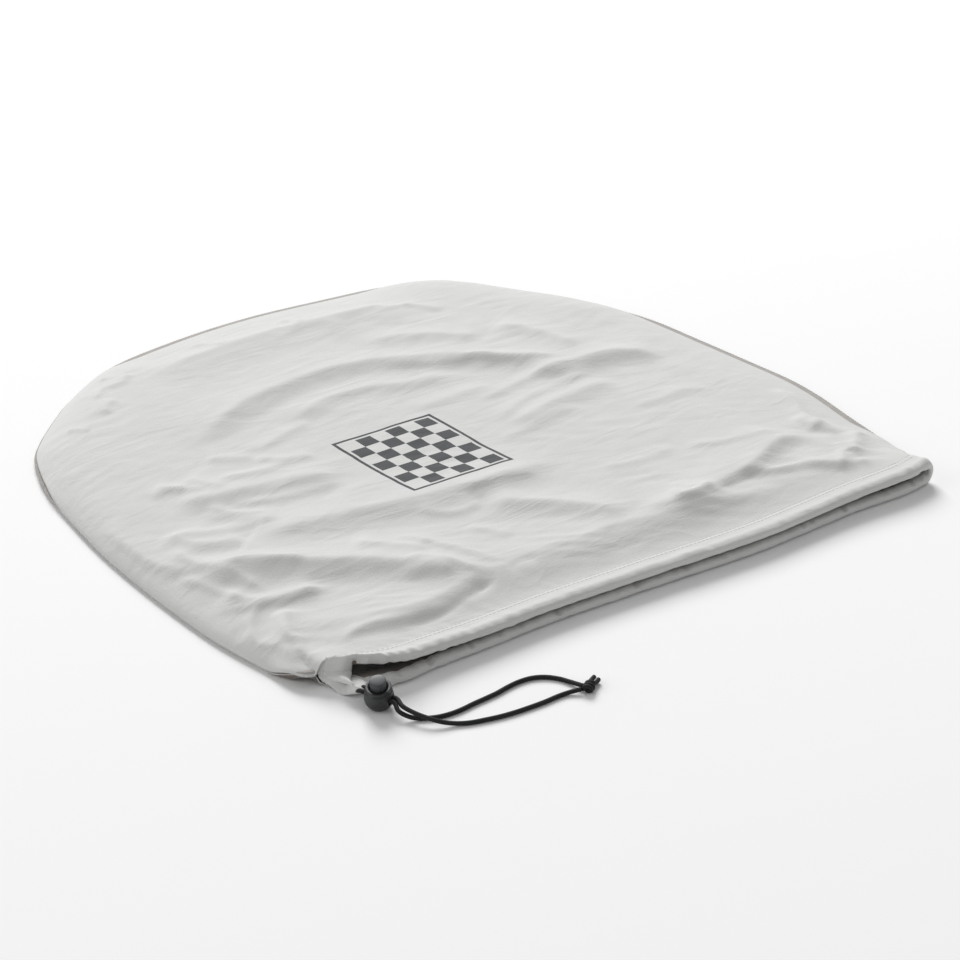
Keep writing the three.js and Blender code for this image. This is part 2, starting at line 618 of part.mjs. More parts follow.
function lockBody() {
  const wall = BARREL.map((row) => [row.out * lockDiameter / 2, row.up * lockHeight]);
  const profile = [[0, 0], ...wall, [lockBore + lockLip, lockHeight], [lockBore, lockHeight - lockLip],
    [lockBore, lockFloor], [0, lockFloor]];
  const cordTop = cordHeight + cordRadius + gap;
  const window = crossCut(2 * lockDiameter, cordTop - cordDiameter - 2 * gap - windowPlay, cordTop);
  return geometryFrom(solidOf(lathe(profile, 24)).subtract(solidOf(window)));
}

function lockButton() {
  const radius = buttonDiameter / 2;
  const top = lockHeight + buttonRise;
  const round = buttonDiameter / 8;
  const profile = [[0, buttonBottom], [radius, buttonBottom], [radius, top - round],
    [radius - 0.3 * round, top - 0.3 * round], [radius - round, top], [0, top]];
  const slotBottom = buttonBottom + buttonFoot;
  const slot = crossCut(2 * buttonDiameter, slotBottom, slotBottom + cordDiameter + 2 * gap + buttonTravel);
  return geometryFrom(solidOf(lathe(profile, 20)).subtract(solidOf(slot)));
}

function lock() {
  const group = new THREE.Group();
  group.quaternion.setFromRotationMatrix(new THREE.Matrix4().makeBasis(lockThrough, lockAcross, lockAxis));
  group.position.copy(lockPlace);
  group.add(meshOf("cord_lock_body", lockBody(), blackPlastic));
  group.add(meshOf("cord_lock_button", lockButton(), greyPlastic));
  return group;
}

// The knot is a lump of three turns with the two cut tails of the cord beside each other. ahead,
// aside and length are shares of knotLength.
const KNOT_TURNS = [
  { ahead: -0.2, aside: 0, size: 1.05 }, { ahead: 0.18, aside: 0, size: 1 },
  { ahead: 0, aside: -0.2, size: 0.8 },
];
const KNOT_TAILS = [{ aside: 0.13, length: 1.15 }, { aside: -0.13, length: 1 }];

function endKnot() {
  const turns = KNOT_TURNS.map(({ ahead, aside, size }) => {
    const ball = new THREE.SphereGeometry(knotHeight / 2, 8, 6);
    ball.scale(size, size * 0.85, 1);
    return solidOf(ball.translate(ahead * knotLength, aside * knotLength, knotHeight / 2));
  });
  const tails = KNOT_TAILS.map(({ aside, length }) => solidOf(tube([
    new THREE.Vector3(0, aside * knotLength * 0.4, knotHeight / 2),
    new THREE.Vector3(knotLength / 2, aside * knotLength, knotHeight * 0.45),
    new THREE.Vector3(length * knotLength, aside * knotLength * 1.1, knotHeight * 0.4),
  ], cordRadius, cordSides)));
  const lump = [...turns, ...tails].reduce((sum, solid) => sum.add(solid));
  const mesh = meshOf("end_knot", geometryFrom(lump), blackCord);
  mesh.position.set(slit.x + knotFromSlit.x, slit.y + knotFromSlit.y, 0);
  mesh.rotation.z = knotFromSlit.turn;
  return mesh;
}

// The overlocked strip between the panels' rims, from one mouth corner round to the other.
const seamStride = 3;
function edgeSeam() {
  const behind = (point) => point.y > backEdge(point.x < 0 ? mouthLeft : mouthRight) + cornerLength;
  const line = rim.filter(behind).filter((_, i) => i % seamStride === 0);
  const rings = line.map((point, i) => {
    const before = line[Math.max(i - 1, 0)];
    const after = line[Math.min(i + 1, line.length - 1)];
    const along = after.clone().sub(before).normalize();
    const outward = new THREE.Vector3(-along.y, along.x, 0);
    const place = (out, up) => point.clone().addScaledVector(outward, out)
      .setZ(lowSeam + up * seamThickness / 2);
    return [place(seamShow, -1), place(seamShow, 1), place(seamShow - seamWidth, 1),
      place(seamShow - seamWidth, -1)];
  });
  return meshOf("edge_seam", loft(rings, false), seamCloth);
}

const sack = new THREE.Group();
sack.add(topPanel(), bottomPanel(), edgeSeam(), hemUpper(), hemLower(), drawcord());

// The origin is on the surface, under the middle of the sack's box.
const box = new THREE.Box3().setFromObject(sack);
const helmetBag = new THREE.Group();
helmetBag.add(sack, lock(), strand("cord_strand_a", 1, "a"), strand("cord_strand_b", -1, "b"), endKnot());
helmetBag.position.set(-(box.min.x + box.max.x) / 2, -(box.min.y + box.max.y) / 2, 0);

export default helmetBag;
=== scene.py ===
# %% [markdown]
# # A drawstring sack for a motorcycle helmet
# The real thing is two panels of brushed grey knit, sewn round the sides and the base, with a
# casing round the mouth. A black cord runs in the casing, and both of its ends leave by a slit,
# pass a spring lock and are knotted together. It lies nearly flat, so its looks are all in the
# folds. The CAD frame gives every piece its place. This file makes what the eye sees.

# %% Load the frame
import math
import bpy
import numpy as np
from mathutils import Matrix, Vector, noise


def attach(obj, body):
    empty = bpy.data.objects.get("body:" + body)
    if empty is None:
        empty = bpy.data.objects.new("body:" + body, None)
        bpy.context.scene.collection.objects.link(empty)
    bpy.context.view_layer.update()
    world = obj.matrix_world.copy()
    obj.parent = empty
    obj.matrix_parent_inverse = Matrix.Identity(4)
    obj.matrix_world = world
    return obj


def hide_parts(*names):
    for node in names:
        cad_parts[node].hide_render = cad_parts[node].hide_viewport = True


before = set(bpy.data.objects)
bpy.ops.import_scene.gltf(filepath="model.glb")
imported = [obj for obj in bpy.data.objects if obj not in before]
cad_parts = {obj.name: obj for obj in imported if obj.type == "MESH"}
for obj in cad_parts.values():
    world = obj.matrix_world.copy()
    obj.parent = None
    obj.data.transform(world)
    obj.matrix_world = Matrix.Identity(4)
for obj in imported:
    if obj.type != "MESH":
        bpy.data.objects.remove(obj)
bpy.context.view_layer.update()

MM = 0.001

# %% [markdown]
# ## Camera
# The photo was taken from the left front corner, 26 degrees above the table, with a long lens. A
# camera looks along its own -Z. It could be turned by angles, but three unit vectors say more
# plainly which way its right, its top and its back point. The photo is a crop, which is why the
# lens is shifted a little instead of the camera being turned.

# %% Camera
CAMERA_PLACE = Vector((-1.06936, -1.43992, 0.88291))
CAMERA_RIGHT = Vector((0.80390, -0.59477, 0.0))
CAMERA_UP = Vector((0.26256, 0.35488, 0.89728))
CAMERA_BACK = Vector((-0.53368, -0.72132, 0.44145))

camera_data = bpy.data.cameras.new("photo_camera")
camera_data.sensor_width = 36.0
camera_data.lens = 120.15
camera_data.shift_x = 0.0584
camera_data.shift_y = -0.0345
camera_data.clip_start = 0.05
camera_data.clip_end = 50.0
camera = bpy.data.objects.new("photo_camera", camera_data)
camera.matrix_world = Matrix.Translation(CAMERA_PLACE) @ Matrix(
    (CAMERA_RIGHT, CAMERA_UP, CAMERA_BACK)).transposed().to_4x4()
bpy.context.scene.collection.objects.link(camera)
bpy.context.scene.camera = camera
print("camera", [round(v, 3) for v in camera.location])

# %% [markdown]
# ## Cords
# A cord could be a swept mesh, but as a curve its route stays easy to change: the points are where
# it goes, and the bevel is its thickness. The two free ends leave the slit side by side, run
# straight through the lock, come down to the table and lie in two loose bows to the knot. One
# passes over the other close to the lock. From the lock to the knot all of it shows in the photo,
# so its length there is its real length.

# %% Cord routes
CORD_DIAMETER = 2.6
CORD_SPACING = 3.1
SLIT = Vector((-218.214, -217.392, 0.0))

SLIT_TO_LOCK = {
    "a": [(9.2, 5.4, 3.8), (8.0, -1.0, 4.4), (6.6, -7.2, 6.8)],
    "b": [(6.0, 5.4, 3.8), (4.8, -1.0, 4.3), (3.5, -7.4, 6.6)],
}
LOCK_TO_KNOT = {
    "a": [(13.0, -35.2, 6.8), (14.6, -40.8, 5.7), (16.8, -46.2, 5.0), (19.6, -51.2, 4.3),
          (23.8, -55.6, 3.0), (30.0, -59.4, 1.7), (37.0, -63.0, 1.4), (45.6, -65.6, 1.4),
          (54.8, -67.8, 1.4), (64.0, -69.0, 1.4), (73.6, -69.6, 1.4), (83.0, -69.8, 1.4),
          (92.0, -69.4, 1.4), (98.4, -70.0, 1.6), (105.0, -72.8, 2.8)],
    "b": [(10.2, -35.8, 4.9), (12.8, -39.6, 2.9), (16.4, -42.6, 1.7), (21.0, -45.4, 1.4),
          (27.0, -48.2, 1.4), (34.2, -49.6, 1.4), (42.0, -49.6, 1.4), (50.4, -48.6, 1.4),
          (58.8, -48.0, 1.4), (67.4, -47.2, 1.4), (76.0, -45.6, 1.4), (84.6, -44.8, 1.4),
          (92.4, -45.8, 1.4), (99.0, -49.4, 1.4), (103.8, -55.2, 1.4), (106.4, -61.8, 1.6),
          (108.05, -70.6, 2.8)],
}
LOCK_AXIS = Vector((-0.19, -0.16, 0.969)).normalized()
CORD_HEADING = Vector((0.4, -0.92, 0.0))
LOCK_THROUGH = (CORD_HEADING - LOCK_AXIS * CORD_HEADING.dot(LOCK_AXIS)).normalized()
LOCK_ACROSS = LOCK_AXIS.cross(LOCK_THROUGH)
LOCK_PLACE = SLIT + Vector((9.9, -19.0, 0.855))
LOCK_DIAMETER = 16.4
LOCK_HEIGHT = 13.8
CORD_IN_LOCK = 7.5
PASSAGE = (-0.62, -0.3, 0.3, 0.62)


def strand_points(name, side):
    inside = [LOCK_PLACE + LOCK_AXIS * CORD_IN_LOCK + LOCK_ACROSS * (side * CORD_SPACING / 2)
              + LOCK_THROUGH * (share * LOCK_DIAMETER) for share in PASSAGE]
    before = [SLIT + Vector(p) for p in SLIT_TO_LOCK[name]]
    after = [SLIT + Vector(p) for p in LOCK_TO_KNOT[name]]
    return before + inside + after


# %% Curves for the cords
def smooth_line(points, steps):
    """Points of a centripetal Catmull-Rom curve through the given ones."""
    points = [Vector(p) for p in points]
    ends = [points[0] * 2 - points[1], *points, points[-1] * 2 - points[-2]]
    line = []
    for p0, p1, p2, p3 in zip(ends, ends[1:], ends[2:], ends[3:]):
        t1 = (p1 - p0).length ** 0.5
        t2 = t1 + (p2 - p1).length ** 0.5
        t3 = t2 + (p3 - p2).length ** 0.5
        for k in range(steps):
            t = t1 + (t2 - t1) * k / steps
            a1 = p0 * ((t1 - t) / t1) + p1 * (t / t1)
            a2 = p1 * ((t2 - t) / (t2 - t1)) + p2 * ((t - t1) / (t2 - t1))
            a3 = p2 * ((t3 - t) / (t3 - t2)) + p3 * ((t - t2) / (t3 - t2))
            b1 = a1 * ((t2 - t) / t2) + a2 * (t / t2)
            b2 = a2 * ((t3 - t) / (t3 - t1)) + a3 * ((t - t1) / (t3 - t1))
            line.append(b1 * ((t2 - t) / (t2 - t1)) + b2 * ((t - t1) / (t2 - t1)))
    return [*line, points[-1].copy()]


def line_length(line):
    return sum((b - a).length for a, b in zip(line, line[1:]))


def cord_curve(name, line, radius):
    """A round cord along a line of points in millimetres, closed at both ends."""
    data = bpy.data.curves.new(name, "CURVE")
    data.dimensions = "3D"
    spline = data.splines.new("POLY")
    spline.points.add(len(line) - 1)
    for point, place in zip(spline.points, line):
        point.co = (*(place * MM), 1.0)
    data.bevel_depth = radius * MM
    data.bevel_resolution = 5
    data.use_fill_caps = True
    piece = bpy.data.objects.new(name, data)
    bpy.context.scene.collection.objects.link(piece)
    return piece


strands = {}
for key, side in (("a", 1), ("b", -1)):
    line = smooth_line(strand_points(key, side), 6)
    piece = cord_curve(f"cord_end_{key}", line, CORD_DIAMETER / 2)
    strands[key] = (piece, line)
    print(f"cord end {key}: {line_length(line):.1f} mm, {len(line)} points")

# %% [markdown]
# ## Helpers for shape and stitching
# Most pieces here are sheets and rolls of cloth. A cloth simulation could drape them, but not into
# the folds of one photo. So each starts as a primitive grid, whose points are then moved to where
# a function of the sack says they are. The outline and the mouth follow nearly the same short
# tables as the CAD, so cloth and solids agree to a few millimetres.

# %% Mesh helpers
def deselect():
    for other in bpy.context.selected_objects:
        other.select_set(False)


def activate(piece):
    deselect()
    piece.select_set(True)
    bpy.context.view_layer.objects.active = piece
    return piece


def smooth_faces(piece):
    piece.data.polygons.foreach_set("use_smooth", np.ones(len(piece.data.polygons), dtype=bool))
    return piece


def grid_piece(name, columns, rows, places):
    """A primitive grid whose points are moved to places, an array of rows by columns by 3."""
    deselect()
    bpy.ops.mesh.primitive_grid_add(x_subdivisions=columns - 1, y_subdivisions=rows - 1, size=1)
    piece = bpy.context.active_object
    piece.name = piece.data.name = name
    piece.data.vertices.foreach_set("co", (places.reshape(-1, 3) * MM).ravel())
    piece.data.update()
    return smooth_faces(piece)


def mesh_piece(name, points, faces):
    """A new mesh from points in millimetres and faces as lists of their numbers."""
    data = bpy.data.meshes.new(name)
    data.from_pydata((np.asarray(points) * MM).tolist(), [], faces)
    data.update()
    piece = bpy.data.objects.new(name, data)
    bpy.context.scene.collection.objects.link(piece)
    return smooth_faces(piece)


def add_wall(piece, thickness, offset=-1.0, shade_slot=0):
    """Gives a sheet its thickness with an applied Solidify modifier."""
    activate(piece)
    wall = piece.modifiers.new("wall", "SOLIDIFY")
    wall.thickness = thickness * MM
    wall.offset = offset
    wall.use_even_offset = False
    # The new skin takes the given slot; slot 1 holds the painted shade of the inside.
    wall.material_offset = shade_slot
    bpy.ops.object.modifier_apply(modifier=wall.name)
    return smooth_faces(piece)


def two_slots(piece):
    """Room for two materials: the cloth's outer side, and its inner side painted dark as shade."""
    piece.data.materials.append(None)
    piece.data.materials.append(None)


def count_faces(piece):
    print(f"{piece.name}: {sum(len(p.vertices) - 2 for p in piece.data.polygons)} triangles")
    return piece


# %% [markdown]
# ## The outline of the sack
# Seen from above the sack is wider than it is long, with a straight mouth, sides that swell a
# little and a rounded base. It could be one drawn curve. Tables of shares of the width and the
# length are used instead, because they keep the shape when the size changes. The curve through
# them is walked at even steps of length, which keeps the cloth's grid regular.

# %% Outline tables
BAG_WIDTH = 486.0
BAG_LENGTH = 455.0
HALF = BAG_WIDTH / 2
MOUTH_LINE = -228.265
GAP = 0.3
HEM_DEPTH = 16.0
HEM_HEIGHT = 6.5
MOUTH_GAP = 5.6

LEFT_SIDE = ((0.072, 0.945), (0.1043, 0.967), (0.149, 0.982), (0.2185, 0.997), (0.298, 1.0),
             (0.3974, 0.996), (0.4967, 0.983), (0.596, 0.957), (0.6755, 0.93), (0.735, 0.894),
             (0.785, 0.849))
RIGHT_SIDE = ((0.1043, 0.934), (0.149, 0.948), (0.2185, 0.968), (0.298, 0.993), (0.3576, 1.0),
              (0.4371, 0.99), (0.5364, 0.975), (0.6358, 0.957), (0.6954, 0.926), (0.7749, 0.86),
              (0.8345, 0.789))
BASE = ((-0.785, 0.825), (-0.705, 0.865), (-0.62, 0.903), (-0.42, 0.967), (-0.2, 0.992),
        (0.05, 1.0), (0.3, 0.988), (0.5, 0.972), (0.64, 0.941), (0.715, 0.898))
MOUTH_ACROSS = (-0.922, -0.86, -0.765, -0.675, -0.506, -0.321, -0.152, 0.03, 0.2, 0.33, 0.506,
                0.64, 0.8, 0.893)
MOUTH_SETBACK = (0.8, 0.5, 0.16, 0.25, 0.3, 0.38, 0.3, 0.18, 0.04, 0.0, 0.14, 0.22, 0.16, 0.4)
MOUTH_OPEN = (1.0, 1.0, 0.85, 0.55, 0.3, 0.24, 0.22, 0.24, 0.26, 0.26, 0.28, 0.4, 0.6, 0.64)

print(f"sack: {BAG_WIDTH:.0f} by {BAG_LENGTH:.0f} mm")


# %% Curves of the mouth and the outline
def read(across, values, at):
    """A smooth curve through a table's values, for an array of places."""
    across, values = np.asarray(across), np.asarray(values)
    at = np.asarray(at, dtype=float)
    last = len(across) - 1
    i = np.clip(np.searchsorted(across, at, side="right") - 1, 0, last - 1)
    before, after = np.maximum(i - 1, 0), np.minimum(i + 2, last)
    span = across[i + 1] - across[i]
    t = np.clip((at - across[i]) / span, 0, 1)
    slope_a = (values[i + 1] - values[before]) / (across[i + 1] - across[before]) * span
    slope_b = (values[after] - values[i]) / (across[after] - across[i]) * span
    return ((2 * t**3 - 3 * t**2 + 1) * values[i] + (t**3 - 2 * t**2 + t) * slope_a
            + (3 * t**2 - 2 * t**3) * values[i + 1] + (t**3 - t**2) * slope_b)


def front_edge(x):
    return MOUTH_LINE + HEM_DEPTH * read(MOUTH_ACROSS, MOUTH_SETBACK, np.asarray(x) / HALF)


def back_edge(x):
    return front_edge(x) + HEM_DEPTH


def opening(x):
    return MOUTH_GAP * read(MOUTH_ACROSS, MOUTH_OPEN, np.asarray(x) / HALF)


def loop_radius(x):
    return (HEM_HEIGHT + opening(x)) / 2


def loop_middle(x):
    return HEM_HEIGHT + opening(x) / 2


MOUTH_LEFT = MOUTH_ACROSS[0] * HALF
MOUTH_RIGHT = MOUTH_ACROSS[-1] * HALF


def casing_rise(x):
    """Height of a casing's middle above the middle of the loop: less where the loop's ends turn."""
    r = loop_radius(x)
    from_end = np.minimum(x - MOUTH_LEFT, MOUTH_RIGHT - x)
    return np.where(from_end >= r, r, np.sqrt(np.maximum(r**2 - (r - from_end) ** 2, 0)))


LOOP_START = MOUTH_LEFT - (math.pi / 2 - 1) * float(loop_radius(MOUTH_LEFT))


# %% Outline, walked at even steps
def outline_point(across, along):
    return Vector((across * HALF, along * BAG_LENGTH + MOUTH_LINE, 0.0))


class Walk:
    """A curve that is read by its share of length."""

    def __init__(self, points):
        self.line = np.array([tuple(p) for p in smooth_line(points, 24)])
        steps = np.linalg.norm(np.diff(self.line, axis=0), axis=1)
        self.share = np.concatenate([[0], np.cumsum(steps)]) / steps.sum()

    def at(self, t):
        return np.stack([np.interp(t, self.share, self.line[:, k]) for k in range(3)], axis=-1)


left_start = Vector((MOUTH_LEFT, float(back_edge(MOUTH_LEFT)) + GAP, 0.0))
right_start = Vector((MOUTH_RIGHT, float(back_edge(MOUTH_RIGHT)) + GAP, 0.0))
base_points = [outline_point(*row) for row in BASE]
left_points = [outline_point(-out, along) for along, out in LEFT_SIDE]
right_points = [outline_point(out, along) for along, out in RIGHT_SIDE]
BASE_WALK = Walk(base_points)
LEFT_WALK = Walk([left_start, *left_points, base_points[0]])
RIGHT_WALK = Walk([right_start, *right_points, base_points[-1]])


def whole_rim(count):
    """The outline from the mouth's left corner round the base to its right corner."""
    onward = np.linspace(0, 1, count)
    left, base = LEFT_WALK.at(onward), BASE_WALK.at(onward)
    right = RIGHT_WALK.at(np.linspace(1, 0, count))
    return np.concatenate([left, base[1:], right[1:]])


RIM = whole_rim(90)


# %% Plan of a panel's grid
def panel_plan(columns, rows, rim_crowding=0.35):
    """Where a panel's grid points lie in plan, between the mouth, the sides and the base."""
    def shares(count):
        t = np.linspace(0, 1, count)
        return (1 - rim_crowding) * t + rim_crowding * t * t * (3 - 2 * t)

    s, v = np.meshgrid(shares(columns), shares(rows))
    x = MOUTH_LEFT + (MOUTH_RIGHT - MOUTH_LEFT) * s
    mouth = np.stack([x, back_edge(x) + GAP, np.zeros_like(x)], axis=-1)
    patch_corners = (left_start, right_start, base_points[0], base_points[-1])
    corners = [np.array(tuple(p)) for p in patch_corners]
    weights = [(1 - s) * (1 - v), s * (1 - v), (1 - s) * v, s * v]
    plan = (mouth * (1 - v)[..., None] + BASE_WALK.at(s) * v[..., None]
            + LEFT_WALK.at(v) * (1 - s)[..., None] + RIGHT_WALK.at(v) * s[..., None])
    for corner, weight in zip(corners, weights):
        plan = plan - corner * weight[..., None]
    return plan


# %% [markdown]
# ## Folds
# The folds make the picture. They could be sculpted by hand or left to noise, but a chart puts
# each one where the real one lies. I read their crests on a flattened copy of the photo,
# drawn as if everything lay 8 mm above the table. A crest that is higher than that looks further
# back than it is, so each line is moved forward again by its own height. A fold has a steep flank
# towards the mouth, a hollow in front of it and a longer back.

# %% Chart of the folds
SIGHT_PLANE = 8.0
SIGHT_SHIFT = np.array((1.208, 1.632))
CHART_ORIGIN = np.array((-2.0, -222.265))

